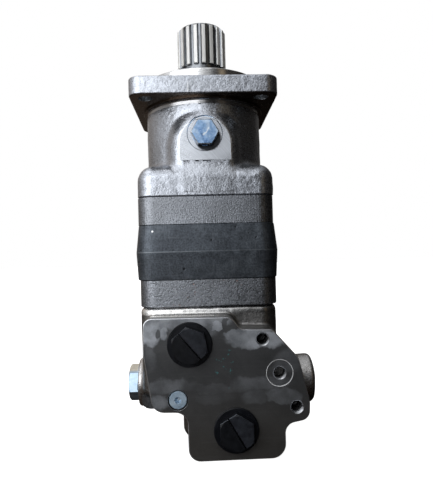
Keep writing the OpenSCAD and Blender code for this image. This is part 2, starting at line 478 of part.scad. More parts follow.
// ---------- selector ----------
module selector_spool() color([0.7, 0.71, 0.73]) translate([0, sel_y, sel_z]) rotate([0, 90, 0]) rotate_extrude($fn = 72)
  polygon([[0, -56], [7, -56], [7, -53], [10.95, -53], [11.95, -52], [11.95, -38], [8.5, -38], [8.5, -18], [11.95, -18], [11.95, -10],
    [8.5, -10], [8.5, 10], [11.95, 10], [11.95, 18], [8.5, 18], [8.5, 38], [11.95, 38], [11.95, 49], [10.95, 50], [6.4, 50], [5.6, 68 - spool_travel], [0, 68 - spool_travel]]);
// coil with ground ends, wound round the spool nose
sp_x0 = 50.3;
sp_x1 = 94.7;
sp_r = 8.7;
sp_w = 1.1;
sp_n = 7;
function helix(n, k) = [for (i = [0:n*k]) [sp_r*cos(360*i/k), sp_r*sin(360*i/k), sp_w + 0.1 + (sp_x1 - sp_x0 - 2*sp_w - 0.2)*i/(n*k)]];
module selector_spring() color([0.35, 0.36, 0.38]) translate([sp_x0, sel_y, sel_z]) rotate([0, 90, 0]) {
  k = 16;
  h = helix(sp_n, k);
  m = len(h);
  pts = [for (i = [0:m - 1]) let (a = 360*i/k) for (j = [0:5]) h[i] + sp_w*[cos(a)*cos(60*j), sin(a)*cos(60*j), sin(60*j)]];
  polyhedron(pts, concat([[for (j = [5:-1:0]) j]], [[for (j = [0:5]) (m - 1)*6 + j]],
    [for (i = [0:m - 2]) for (j = [0:5]) [i*6 + j, i*6 + (j + 1) % 6, (i + 1)*6 + (j + 1) % 6, (i + 1)*6 + j]]));
  ring_z(0, 1.4, sp_r - sp_w, sp_r + sp_w, 40);
  ring_z(sp_x1 - sp_x0 - 1.4, sp_x1 - sp_x0, sp_r - sp_w, sp_r + sp_w, 40);
}
module selector_plug() color([0.72, 0.75, 0.8]) translate([sel_x0, sel_y, sel_z]) rotate([0, 90, 0]) difference() {
  union() {
    intersection() {
      translate([0, 0, -10]) rotate(-13) hexa(31.75, 9.4);
      union() {
        translate([0, 0, -10]) cylinder(r1 = 16.2, r2 = 19, h = 1.8, $fn = 64);
        translate([0, 0, -8.21]) cylinder(r = 19, h = 7.7, $fn = 64);
      }
    }
    translate([0, 0, -1.2]) cylinder(r = 17.6, h = 1.6, $fn = 64);
    translate([0, 0, 0.3]) cylinder(r = 12.0, h = 3, $fn = 48);
    translate([0, 0, 3.2]) cylinder(r = 13.4, h = 13.6, $fn = 48);
  }
  translate([0, 0, 8]) cylinder(r = 9, h = 20, $fn = 40);
}
module selector_plug_seal() color([0.05, 0.05, 0.05]) translate([sel_x0 + 1.55, sel_y, sel_z]) rotate([0, 90, 0]) oring(13.5, 1.0, 48);
module face_plug() color([0.66, 0.72, 0.8]) difference() {
  union() {
    cyl_y(fz + 1.0, fz + 13, px_, pz_, 8.2, 48);
    cone_y(fz + 0.3, fz + 1.01, px_, pz_, 7.6, 8.2, 48);
  }
  translate([px_, fz + 6, pz_]) rotate([90, 0, 0]) hexa(6, 8);
}
// plastic port plug, head toward +z, flange on z = 0
module plastic_plug(a) difference() {
  union() {
    intersection() {
      rotate(a) hexa(29.7, 10);
      union() { cylinder(r = 18, h = 9.2, $fn = 48); translate([0, 0, 9.19]) cylinder(r1 = 16.9, r2 = 15.6, h = 0.81, $fn = 48); }
    }
    cylinder(r = 20.5, h = 1.6, $fn = 64);
    translate([0, 0, 1.59]) cylinder(r1 = 20.5, r2 = 19.8, h = 0.7, $fn = 64);
    rotate(a + 180) translate([3, 0, 9.6]) cylinder(r1 = 0.9, r2 = 0.6, h = 0.7, $fn = 16);
    for (i = [0:3]) rotate(a + 20 + 90*i) translate([18.4, 0, 1.5]) cylinder(r1 = 1.1, r2 = 0.8, h = 1.6, $fn = 20);
    translate([0, 0, -14]) cylinder(r = 16.4, h = 14.01, $fn = 64);
    translate([0, 0, -15.4]) cylinder(r1 = 15, r2 = 16.4, h = 1.41, $fn = 64);
  }
  translate([0, 0, 9.0]) rotate(a - 90) cube([60, 1.5, 4.4], center = true);
  translate([0, 0, -17]) cylinder(r = 12.6, h = 20.5, $fn = 48);
}
module port_plug_a() color([0.05, 0.055, 0.065]) translate([ax_, fz - 0.05, az_]) rotate([90, 0, 0]) plastic_plug(40);
module port_plug_b() color([0.05, 0.055, 0.065]) translate([bx_, fz - 0.05, bz_]) rotate([90, 0, 0]) plastic_plug(30);
module long_bolts() color([0.3, 0.31, 0.33]) for (x = [-1, 1], y = [-1, 1]) translate([x*bolt_c, y*bolt_c, z5 - 10]) {
  intersection() { hexa(24, 9.6); cylinder(r1 = 12.6, r2 = 16, h = 9.6, $fn = 48); }
  translate([0, 0, 9]) cylinder(r = 12, h = 0.95, $fn = 48);
  translate([0, 0, 9.5]) cylinder(r = 8, h = -97 - z5 + 0.5, $fn = 40);
}

bearing_housing();
output_shaft();
dust_seal();
shaft_seal();
front_cover();
cover_seal();
cover_screws();
front_bearing_cup();
front_bearing_cone();
front_bearing_cage();
front_bearing_rollers();
bearing_spacer();
rear_bearing_cup();
rear_bearing_cone();
rear_bearing_cage();
rear_bearing_rollers();
shaft_nut();
case_drain_plug();
case_drain_seal();
housing_seal();
wear_plate();
ring_front_seal();
roller_ring();
roller_1();
roller_2();
roller_3();
roller_4();
roller_5();
roller_6();
roller_7();
roller_8();
roller_9();
star();
main_drive();
drive_spacer();
valve_drive();
ring_rear_seal();
valve_plate();
valve_plate_seal();
dowel_pins();
valve_housing();
disc_valve();
balance_ring();
balance_seal();
balance_spring();
balance_pins();
selector_spool();
selector_spring();
selector_plug();
selector_plug_seal();
face_plug();
port_plug_a();
port_plug_b();
long_bolts();
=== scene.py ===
import math
import bpy
import numpy as np
from mathutils import Matrix, Vector


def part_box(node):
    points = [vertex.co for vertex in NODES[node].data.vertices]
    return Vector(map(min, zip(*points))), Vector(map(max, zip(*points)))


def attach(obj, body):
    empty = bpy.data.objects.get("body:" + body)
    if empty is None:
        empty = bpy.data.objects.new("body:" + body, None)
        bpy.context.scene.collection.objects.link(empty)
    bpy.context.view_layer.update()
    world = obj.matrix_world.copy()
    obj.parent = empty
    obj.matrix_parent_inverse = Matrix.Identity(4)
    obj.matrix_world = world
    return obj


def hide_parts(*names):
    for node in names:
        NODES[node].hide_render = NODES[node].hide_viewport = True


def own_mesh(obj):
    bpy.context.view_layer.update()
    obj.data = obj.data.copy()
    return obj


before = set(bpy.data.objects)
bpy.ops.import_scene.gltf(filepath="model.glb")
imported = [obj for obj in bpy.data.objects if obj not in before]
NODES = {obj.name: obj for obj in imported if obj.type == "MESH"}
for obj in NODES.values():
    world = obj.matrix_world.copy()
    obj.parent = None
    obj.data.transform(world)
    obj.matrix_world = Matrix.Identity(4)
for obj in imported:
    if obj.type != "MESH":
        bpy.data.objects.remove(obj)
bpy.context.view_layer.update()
MM = 0.001

# ------------------------------------------------------------------ camera
# fitted to the photograph: right, forward and up of the camera in the part's frame
RIGHT = (0.99896, -0.03683, -0.02678)
FWD = (0.03740, 0.99908, 0.02118)
UP = (0.02597, -0.02216, 0.99942)
CAM_POS = (-7.757, -510.354, -170.898)
cam_data = bpy.data.cameras.new("camera")
cam_data.sensor_fit = "AUTO"
cam_data.sensor_width = 36.0
cam_data.lens = 458.98 / 485.0 * 36.0
cam_data.clip_start = 0.01
cam_data.clip_end = 20.0
cam = bpy.data.objects.new("camera", cam_data)
bpy.context.collection.objects.link(cam)
m = Matrix.Identity(4)
for i in range(3):
    m[i][0] = RIGHT[i]
    m[i][1] = UP[i]
    m[i][2] = -FWD[i]
    m[i][3] = CAM_POS[i] * MM
cam.matrix_world = m
bpy.context.scene.camera = cam

# ------------------------------------------------------------------ distance fields, millimetres
def hyp(a, b):
    return np.sqrt(a * a + b * b)


def r_union(a, b, r):
    if r <= 0:
        return np.minimum(a, b)
    return np.maximum(r, np.minimum(a, b)) - hyp(np.maximum(r - a, 0), np.maximum(r - b, 0))


def r_inter(a, b, r):
    return -r_union(-a, -b, r)


def cyl_z(x, y, z, cx, cy, r, z0, z1, e=0.0):
    d = hyp(x - cx, y - cy) - r
    w = np.abs(z - (z0 + z1) / 2) - (z1 - z0) / 2
    return r_inter(d, w, e)


def cyl_x(x, y, z, cy, cz, r, x0, x1, e=0.0):
    d = hyp(y - cy, z - cz) - r
    w = np.abs(x - (x0 + x1) / 2) - (x1 - x0) / 2
    return r_inter(d, w, e)


def cyl_y(x, y, z, cx, cz, r, y0, y1, e=0.0):
    d = hyp(x - cx, z - cz) - r
    w = np.abs(y - (y0 + y1) / 2) - (y1 - y0) / 2
    return r_inter(d, w, e)


def rsq(x, y, h, r):
    qx = np.abs(x) - h + r
    qy = np.abs(y) - h + r
    return np.minimum(np.maximum(qx, qy), 0) + hyp(np.maximum(qx, 0), np.maximum(qy, 0)) - r


def box(x, y, z, lo, hi, r=0.0):
    c = [(a + b) / 2 for a, b in zip(lo, hi)]
    s = [(b - a) / 2 - r for a, b in zip(lo, hi)]
    qx, qy, qz = np.abs(x - c[0]) - s[0], np.abs(y - c[1]) - s[1], np.abs(z - c[2]) - s[2]
    out = np.sqrt(np.maximum(qx, 0) ** 2 + np.maximum(qy, 0) ** 2 + np.maximum(qz, 0) ** 2)
    return out + np.minimum(np.maximum(qx, np.maximum(qy, qz)), 0) - r


def poly_sdf(px, pz, pts):
    p = np.asarray(pts, float)
    q = np.roll(p, -1, axis=0)
    best = np.full(px.shape, 1e9)
    inside = np.zeros(px.shape, bool)
    for (ax, az), (bx, bz) in zip(p, q):
        ex, ez = bx - ax, bz - az
        wx, wz = px - ax, pz - az
        t = np.clip((wx * ex + wz * ez) / (ex * ex + ez * ez + 1e-12), 0, 1)
        d = (wx - ex * t) ** 2 + (wz - ez * t) ** 2
        best = np.minimum(best, d)
        cond = (az > pz) != (bz > pz)
        with np.errstate(divide="ignore", invalid="ignore"):
            xx = ax + (pz - az) * ex / (ez if abs(ez) > 1e-12 else 1e-12)
        inside ^= cond & (px < xx)
    best = np.sqrt(best)
    return np.where(inside, -best, best)


def noise3(x, y, z, scale, seed):
    """Smooth value noise, deterministic."""
    rng = np.random.RandomState(seed)
    n = 32
    g = rng.rand(n, n, n).astype(np.float32) * 2 - 1
    fx, fy, fz = x / scale, y / scale, z / scale
    ix, iy, iz = np.floor(fx).astype(int), np.floor(fy).astype(int), np.floor(fz).astype(int)
    tx, ty, tz = fx - ix, fy - iy, fz - iz
    tx, ty, tz = (t * t * (3 - 2 * t) for t in (tx, ty, tz))
    out = 0
    for a in (0, 1):
        for b in (0, 1):
            for c in (0, 1):
                w = (tx if a else 1 - tx) * (ty if b else 1 - ty) * (tz if c else 1 - tz)
                out = out + w * g[(ix + a) % n, (iy + b) % n, (iz + c) % n]
    return out


def nets(f, lo, hi, h, name, cuts=0.0):
    """Surface net of f < 0 inside the box lo..hi with cells of h, vertices pulled onto the surface."""
    n = [int(math.ceil((b - a) / h)) + 1 for a, b in zip(lo, hi)]
    ax = [lo[i] + h * np.arange(n[i]) for i in range(3)]
    F = np.empty(n, np.float32)
    step = 24
    for k in range(0, n[2], step):
        X, Y, Z = np.meshgrid(ax[0], ax[1], ax[2][k:k + step], indexing="ij")
        F[:, :, k:k + step] = f(X, Y, Z)
    S = F < 0
    a = S[:-1, :-1, :-1].astype(np.int8)
    tot = np.zeros(a.shape, np.int8)
    for i in (0, 1):
        for j in (0, 1):
            for k in (0, 1):
                tot += S[i:n[0] - 1 + i, j:n[1] - 1 + j, k:n[2] - 1 + k]
    mask = (tot > 0) & (tot < 8)
    ci = np.argwhere(mask)
    idx = np.full(a.shape, -1, np.int64)
    idx[mask] = np.arange(len(ci))
    acc = np.zeros((len(ci), 3))
    cnt = np.zeros(len(ci))
    corners = [(i, j, k) for i in (0, 1) for j in (0, 1) for k in (0, 1)]
    for c0 in corners:
        for axis in range(3):
            if c0[axis]:
                continue
            c1 = list(c0)
            c1[axis] = 1
            v0 = F[ci[:, 0] + c0[0], ci[:, 1] + c0[1], ci[:, 2] + c0[2]]
            v1 = F[ci[:, 0] + c1[0], ci[:, 1] + c1[1], ci[:, 2] + c1[2]]
            x = (v0 < 0) != (v1 < 0)
            t = np.where(x, v0 / np.where(v0 == v1, 1, v0 - v1), 0)
            p = np.zeros((len(ci), 3)) + np.array(c0)
            p[:, axis] += t
            acc += np.where(x[:, None], p, 0)
            cnt += x
    V = np.array(lo) + h * (ci + acc / cnt[:, None])

    def grad(P, e):
        g = np.empty_like(P)
        for i in range(3):
            d = np.zeros(3)
            d[i] = e
            A, B = P + d, P - d
            g[:, i] = (f(A[:, 0], A[:, 1], A[:, 2]) - f(B[:, 0], B[:, 1], B[:, 2])) / (2 * e)
        return g
    for _ in range(3):
        v = f(V[:, 0], V[:, 1], V[:, 2])
        g = grad(V, 0.05)
        g2 = np.maximum((g * g).sum(1), 0.25)
        V = V - np.clip(v / g2, -h * 0.7, h * 0.7)[:, None] * g * 0.9
    quads = []
    for axis in range(3):
        o = [(axis + 1) % 3, (axis + 2) % 3]
        A = S.take(range(0, n[axis] - 1), axis)
        B = S.take(range(1, n[axis]), axis)
        e = np.argwhere(A != B)
        keep = (e[:, o[0]] > 0) & (e[:, o[1]] > 0) & (e[:, o[0]] < n[o[0]] - 1) & (e[:, o[1]] < n[o[1]] - 1)
        e = e[keep]
        up = A[e[:, 0], e[:, 1], e[:, 2]]
        q = []
        for du, dv in ((0, 0), (1, 0), (1, 1), (0, 1)):
            c = e.copy()
            c[:, o[0]] -= 1 - du
            c[:, o[1]] -= 1 - dv
            q.append(idx[c[:, 0], c[:, 1], c[:, 2]])
        q = np.stack(q, 1)
        q[~up] = q[~up][:, ::-1]
        quads.append(q)
    Q = np.concatenate(quads)
    Q = Q[(Q >= 0).all(1)]
    N = grad(V, 0.12)
    N /= np.maximum(np.linalg.norm(N, axis=1), 1e-9)[:, None]
    return V, Q, N


def mesh_from(V, Q, name, mats=(), face_mat=None, normals=None, smooth=True):
    me = bpy.data.meshes.new(name)
    k = Q.shape[1]
    me.vertices.add(len(V))
    me.vertices.foreach_set("co", (np.asarray(V, np.float32) * MM).ravel())
    me.loops.add(Q.size)
    me.loops.foreach_set("vertex_index", Q.astype(np.int32).ravel())
    me.polygons.add(len(Q))
    me.polygons.foreach_set("loop_start", np.arange(0, Q.size, k, dtype=np.int32))
    me.polygons.foreach_set("loop_total", np.full(len(Q), k, np.int32))
    for mt in mats:
        me.materials.append(mt)
    if face_mat is not None:
        me.polygons.foreach_set("material_index", np.asarray(face_mat, np.int32))
    me.update(calc_edges=True)
    me.validate()
    if smooth:
        me.polygons.foreach_set("use_smooth", np.ones(len(me.polygons), bool))
    if normals is not None and len(me.vertices) == len(normals):
        me.normals_split_custom_set_from_vertices([tuple(v) for v in normals.tolist()])
    ob = bpy.data.objects.new(name, me)
    bpy.context.collection.objects.link(ob)
    return ob


# ------------------------------------------------------------------ materials
class Mat:
    """Small helper for building node materials."""

    def __init__(self, name):
        self.m = bpy.data.materials.new(name)
        self.m.use_nodes = True
        self.t = self.m.node_tree
        self.t.nodes.clear()
        self.out = self.t.nodes.new("ShaderNodeOutputMaterial")
        self.b = self.t.nodes.new("ShaderNodeBsdfPrincipled")
        self.t.links.new(self.b.outputs[0], self.out.inputs[0])
        self.co = self.t.nodes.new("ShaderNodeTexCoord").outputs["Object"]

    def n(self, kind, **k):
        x = self.t.nodes.new(kind)
        for a, v in k.items():
            if hasattr(x, a):
                setattr(x, a, v)
        return x

    def put(self, sock, v):
        if isinstance(v, (int, float, tuple, list)):
            if isinstance(v, (tuple, list)) and len(v) == 3 and sock.type == "RGBA":
                v = (*v, 1.0)
            sock.default_value = v
        else:
            self.t.links.new(v, sock)

    def mapped(self, scale=(1, 1, 1), rot=(0, 0, 0), loc=(0, 0, 0)):
        x = self.n("ShaderNodeMapping")
        x.inputs["Scale"].default_value = scale
        x.inputs["Rotation"].default_value = rot
        x.inputs["Location"].default_value = loc
        self.t.links.new(self.co, x.inputs[0])
        return x.outputs[0]

    def noise(self, scale, detail=3.0, rough=0.5, vec=None, dist=0.0, lac=2.0):
        x = self.n("ShaderNodeTexNoise")
        x.inputs["Scale"].default_value = scale
        x.inputs["Detail"].default_value = detail
        x.inputs["Roughness"].default_value = rough
        x.inputs["Distortion"].default_value = dist
        x.inputs["Lacunarity"].default_value = lac
        self.t.links.new(vec or self.co, x.inputs["Vector"])
        return x.outputs["Fac"]

    def voronoi(self, scale, feature="F1", vec=None, rnd=1.0):
        x = self.n("ShaderNodeTexVoronoi", feature=feature)
        x.inputs["Scale"].default_value = scale
        x.inputs["Randomness"].default_value = rnd
        self.t.links.new(vec or self.co, x.inputs["Vector"])
        return x.outputs["Distance"]

    def ramp(self, fac, stops, interp="LINEAR"):
        x = self.n("ShaderNodeValToRGB")
        x.color_ramp.interpolation = interp
        e = x.color_ramp.elements
        while len(e) < len(stops):
            e.new(0.5)
        for el, (p, c) in zip(e, stops):
            el.position = p
            el.color = (*c, 1.0) if isinstance(c, (tuple, list)) else (c, c, c, 1.0)
        self.t.links.new(fac, x.inputs[0])
        return x.outputs[0]

    def mix(self, fac, a, b, blend="MIX"):
        x = self.n("ShaderNodeMix", data_type="RGBA", blend_type=blend)
        x.clamp_factor = True
        self.put(x.inputs[0], fac)
        self.put(x.inputs[6], a)
        self.put(x.inputs[7], b)
        return x.outputs[2]

    def math(self, op, a, b=0.0, c=None, clamp=False):
        x = self.n("ShaderNodeMath", operation=op)
        x.use_clamp = clamp
        self.put(x.inputs[0], a)
        self.put(x.inputs[1], b)
        if c is not None:
            self.put(x.inputs[2], c)
        return x.outputs[0]

    def xyz(self, vec=None):
        x = self.n("ShaderNodeSeparateXYZ")
        self.t.links.new(vec or self.co, x.inputs[0])
        return x.outputs

    def rng(self, v, a, b, c=0.0, d=1.0, smooth=False):
        x = self.n("ShaderNodeMapRange")
        if smooth:
            x.interpolation_type = "SMOOTHSTEP"
        self.put(x.inputs[0], v)
        for i, q in enumerate((a, b, c, d)):
            x.inputs[1 + i].default_value = q
        return x.outputs[0]

    def bump(self, h, strength=0.3, dist=0.001, normal=None):
        x = self.n("ShaderNodeBump")
        x.inputs["Strength"].default_value = strength
        x.inputs["Distance"].default_value = dist
        self.t.links.new(h, x.inputs["Height"])
        if normal is not None:
            self.t.links.new(normal, x.inputs["Normal"])
        return x.outputs[0]

    def done(self, color, rough, metal=0.0, normal=None, **k):
        self.put(self.b.inputs["Base Color"], color)
        self.put(self.b.inputs["Roughness"], rough)
        self.put(self.b.inputs["Metallic"], metal)
        if normal is not None:
            self.t.links.new(normal, self.b.inputs["Normal"])
        for a, v in k.items():
            self.b.inputs[a.replace("_", " ")].default_value = v
        return self.m


def mat_cast(name, lo=0.30, hi=0.52, seed=0.0, rust=0.0, metal=0.97, rough=0.33, grain=0.6, mark=False, tint=(0.935, 0.985, 1.075), painted_side_light=False):
    """Shot-blasted cast iron: grain of one to two millimetres, cloudy tone."""
    s = Mat(name)
    v = s.mapped(loc=(seed, seed * 0.7, seed * 0.3))
    g1 = s.noise(690, 2.0, 0.6, v)
    g2 = s.noise(1150, 1.0, 0.5, v)
    mid = s.noise(150, 2.0, 0.5, v)
    big = s.noise(26, 3.0, 0.55, v)
    t = s.math("ADD", s.math("MULTIPLY", g1, 0.72), s.math("MULTIPLY", g2, 0.28))
    c = s.ramp(t, [(0.36, tuple(lo * q for q in tint)), (0.64, tuple(min(1.0, hi * q) for q in tint))])
    if mark:
        # short light casting mark on the front edge of the flange
        x, y, z = s.xyz()
        q = s.math("ABSOLUTE", s.math("ADD", s.math("ADD", x, 0.0154), s.math("MULTIPLY", s.math("SUBTRACT", s.noise(120, 1.0), 0.5), 0.004)))
        k = s.math("MULTIPLY", s.rng(q, 0.0002, 0.0007, 1.0, 0.0), s.math("MULTIPLY", s.rng(z, -0.0165, -0.0150), s.rng(z, -0.0075, -0.0060, 1.0, 0.0)))
        k = s.math("MULTIPLY", k, s.rng(y, -0.0700, -0.0690, 1.0, 0.0))
        c = s.mix(s.math("MULTIPLY", k, 0.75), c, (0.93, 0.95, 0.97))
    c = s.mix(1.0, c, s.ramp(big, [(0.32, (0.84, 0.835, 0.83)), (0.68, (1.10, 1.10, 1.11))]), "MULTIPLY")
    if painted_side_light:
        # painted light and shade: the left end lighter, the right end darker
        x, y, z = s.xyz()
        c = s.mix(1.0, c, s.ramp(s.rng(x, -0.065, 0.065), [(0.10, 1.12), (0.40, 0.86), (0.62, 0.50), (0.85, 0.34)]), "MULTIPLY")
    if rust > 0:
        r = s.noise(420, 2.0, 0.5, v)
        g = s.noise(30, 2.0, 0.5, v)
        k = s.math("MULTIPLY", s.rng(r, 0.66, 0.72), s.rng(g, 0.54, 0.62))
        c = s.mix(s.math("MULTIPLY", k, rust), c, (0.22, 0.070, 0.028))
    r = s.ramp(g1, [(0.34, rough - 0.05), (0.66, rough + 0.06)])
    h = s.math("ADD", s.math("MULTIPLY", g1, 1.0), s.math("MULTIPLY", mid, 0.35))
    n = s.bump(h, grain, 0.0008)
    n = s.bump(big, 0.15, 0.003, n)
    return s.done(c, r, metal, n)


def mat_machined(name, base, rough=0.3, ring=False, metal=0.95, lines=900, direction="z"):
    s = Mat(name)
    sc = {"z": (0.12, 0.12, 1.0), "x": (1.0, 0.12, 0.12), "none": (1, 1, 1)}[direction]
    v = s.mapped(scale=sc)
    a = s.noise(lines, 2.0, 0.6, v)
    g = s.noise(60, 3.0, 0.5)
    f = s.noise(900, 2.0, 0.5)
    c = s.mix(1.0, s.ramp(a, [(0.3, tuple(q * 0.82 for q in base)), (0.7, tuple(min(1, q * 1.14) for q in base))]), s.ramp(g, [(0.3, 0.88), (0.7, 1.08)]), "MULTIPLY")
    r = s.ramp(g, [(0.3, rough * 0.8), (0.7, rough * 1.25)])
    h = s.math("ADD", s.math("MULTIPLY", a, 0.6), s.math("MULTIPLY", f, 0.3))
    return s.done(c, r, metal, s.bump(h, 0.25, 0.0002))


def mat_pad(name, base, rough, oil=True):
    """Milled pad: fine arcs of the cutter, and a painted shadow of the plug below and right of it."""
    s = Mat(name)
    x, y, z = s.xyz()
    px, pz = s.math("SUBTRACT", x, -0.052), s.math("ADD", z, 0.128)
    rad = s.math("SQRT", s.math("ADD", s.math("MULTIPLY", px, px), s.math("MULTIPLY", pz, pz)))
    arcs = s.n("ShaderNodeTexNoise", noise_dimensions="1D")
    arcs.inputs["Scale"].default_value = 900.0
    arcs.inputs["Detail"].default_value = 2.0
    s.t.links.new(rad, arcs.inputs["W"])
    a = arcs.outputs["Fac"]
    g = s.noise(60, 3.0, 0.5)
    c = s.mix(1.0, s.ramp(a, [(0.3, tuple(q * 0.90 for q in base)), (0.7, tuple(min(1, q * 1.08) for q in base))]), s.ramp(g, [(0.3, 0.90), (0.7, 1.06)]), "MULTIPLY")
    # painted shadow: a near-black crescent below and right of the plug
    qx, qz = s.math("SUBTRACT", x, 0.0030), s.math("ADD", z, 0.0585)
    qq = s.math("SQRT", s.math("ADD", s.math("MULTIPLY", qx, qx), s.math("MULTIPLY", qz, qz)))
    k = s.rng(s.math("ADD", qq, s.math("MULTIPLY", s.math("SUBTRACT", g, 0.5), 0.002)), 0.0122, 0.0140, 1.0, 0.0, True)
    w = s.rng(s.math("SUBTRACT", s.math("MULTIPLY", s.math("SUBTRACT", x, 0.0003), 0.8), s.math("ADD", z, 0.0543)), -0.004, 0.006, 0.0, 1.0, True)
    c = s.mix(s.math("MULTIPLY", s.math("MULTIPLY", k, w), 0.96), c, (0.010, 0.010, 0.012))
    return s.done(c, s.ramp(g, [(0.3, rough * 0.85), (0.7, rough * 1.2)]), 0.9, s.bump(a, 0.15, 0.0002))


def mat_spline(name):
    """Shaft steel: crests of the teeth ground and painted light as a highlight, painted shade in the grooves."""
    s = Mat(name)
    x, y, z = s.xyz()
    r = s.math("SQRT", s.math("ADD", s.math("MULTIPLY", x, x), s.math("MULTIPLY", y, y)))
    a = s.noise(900, 2.0, 0.6, s.mapped(scale=(1.0, 1.0, 0.12)))
    g = s.noise(60, 3.0, 0.5)
    teeth = s.rng(z, 0.0105, 0.0120)
    crest_ground_and_highlight = s.math("MULTIPLY", s.rng(r, 0.0258, 0.0265), teeth)
    # painted shade in the grooves between the teeth
    groove = s.math("MULTIPLY", s.rng(r, 0.0262, 0.0256), teeth)
    c = s.mix(1.0, s.ramp(a, [(0.3, (0.42, 0.425, 0.435)), (0.7, (0.54, 0.545, 0.555))]), s.ramp(g, [(0.3, 0.90), (0.7, 1.08)]), "MULTIPLY")
    c = s.mix(s.math("MULTIPLY", groove, 0.85), c, s.ramp(a, [(0.3, (0.13, 0.138, 0.150)), (0.7, (0.22, 0.232, 0.250))]))
    # ground crests, painted light as a highlight
    c = s.mix(s.math("MULTIPLY", crest_ground_and_highlight, 0.95), c, s.ramp(a, [(0.3, (0.70, 0.70, 0.68)), (0.7, (0.88, 0.875, 0.85))]))
    rough = s.mix(crest_ground_and_highlight, s.ramp(g, [(0.3, 0.18), (0.7, 0.26)]), (0.42, 0.42, 0.42))
    metal = s.rng(s.math("MULTIPLY", crest_ground_and_highlight, 1.0), 0.0, 1.0, 0.95, 0.35)
    return s.done(c, rough, metal, s.bump(a, 0.20, 0.0002))


def mat_zinc(name, scratch=None, gain=1.0, warm=None, pale=0.0, metal=0.9, face_shade_glint=None):
    """Bluish zinc plating, mottled; scratch: (x0, z0, x1, z1) in metres, a bright rub mark."""
    s = Mat(name)
    a = s.noise(260, 3.0, 0.6)
    g = s.noise(95, 3.0, 0.55, dist=0.8)
    c = s.mix(1.0, s.ramp(g, [(0.30, tuple(gain * q for q in (0.16, 0.29, 0.53))), (0.5, tuple(gain * q for q in (0.28, 0.44, 0.68))), (0.70, tuple(gain * q for q in (0.55, 0.68, 0.84)))]), s.ramp(a, [(0.3, 0.82), (0.7, 1.12)]), "MULTIPLY")
    spot = s.noise(520, 3.0, 0.65, dist=0.5)
    c = s.mix(s.math("MULTIPLY", s.rng(spot, 0.56, 0.72), 0.45), c, tuple(min(1.0, gain * q) for q in (0.70, 0.80, 0.90)))
    c = s.mix(s.math("MULTIPLY", s.rng(spot, 0.42, 0.30), 0.40), c, (0.10, 0.20, 0.40))
    if pale:
        c = s.mix(pale, c, s.ramp(g, [(0.3, (0.42, 0.55, 0.66)), (0.7, (0.58, 0.71, 0.81))]))
    if scratch:
        x0, z0, x1, z1 = scratch
        L = math.hypot(x1 - x0, z1 - z0)
        ux, uz = (x1 - x0) / L, (z1 - z0) / L
        x, y, z = s.xyz()
        px, pz = s.math("SUBTRACT", x, x0), s.math("SUBTRACT", z, z0)
        al = s.math("ADD", s.math("MULTIPLY", px, ux), s.math("MULTIPLY", pz, uz))
        ac = s.math("ABSOLUTE", s.math("ADD", s.math("SUBTRACT", s.math("MULTIPLY", px, -uz), s.math("MULTIPLY", pz, -ux)), s.math("MULTIPLY", s.math("SUBTRACT", a, 0.5), 0.004)))
        k = s.math("MULTIPLY", s.rng(ac, 0.0003, 0.0009, 1.0, 0.0), s.math("MULTIPLY", s.rng(al, 0.0, 0.001), s.rng(al, L - 0.001, L, 1.0, 0.0)))
        c = s.mix(s.math("MULTIPLY", k, 0.85), c, (0.86, 0.90, 0.94))
    if warm:
        # beige over the top facet at the end of the hex
        x, y, z = s.xyz()
        k = s.math("MULTIPLY", s.rng(z, warm - 0.0006, warm + 0.0004), s.rng(x, -0.0742, -0.0736, 1.0, 0.0))
        c = s.mix(s.math("MULTIPLY", k, 0.9), c, s.ramp(a, [(0.3, (0.62, 0.56, 0.45)), (0.7, (0.80, 0.74, 0.62))]))
    if face_shade_glint:
        # painted shade in the gap round the plug face, heaviest at the lower left, and a painted glint beside the
        # socket
        x, y, z = s.xyz()
        px, pz = s.math("SUBTRACT", x, face_shade_glint[0] * MM), s.math("SUBTRACT", z, face_shade_glint[1] * MM)
        q = s.math("SQRT", s.math("ADD", s.math("MULTIPLY", px, px), s.math("MULTIPLY", pz, pz)))
        lo = s.rng(s.math("ADD", px, pz), -0.004, 0.010, 1.0, 0.25)
        c = s.mix(s.math("MULTIPLY", s.rng(q, face_shade_glint[2] * MM, (face_shade_glint[2] + 0.5) * MM), lo), c, (0.012, 0.012, 0.014))
        # painted glint
        px, pz = s.math("SUBTRACT", x, (face_shade_glint[0] + 0.8) * MM), s.math("SUBTRACT", z, (face_shade_glint[1] - 0.5) * MM)
        q = s.math("SQRT", s.math("ADD", s.math("MULTIPLY", px, px), s.math("MULTIPLY", pz, pz)))
        c = s.mix(s.math("MULTIPLY", s.rng(q, 0.0008, 0.0024, 1.0, 0.0), 0.85), c, (0.93, 0.96, 0.97))
    r = s.ramp(g, [(0.3, 0.25), (0.7, 0.38)])
    return s.done(c, r, metal, s.bump(s.noise(420, 3.0, 0.6), 0.18, 0.0004))


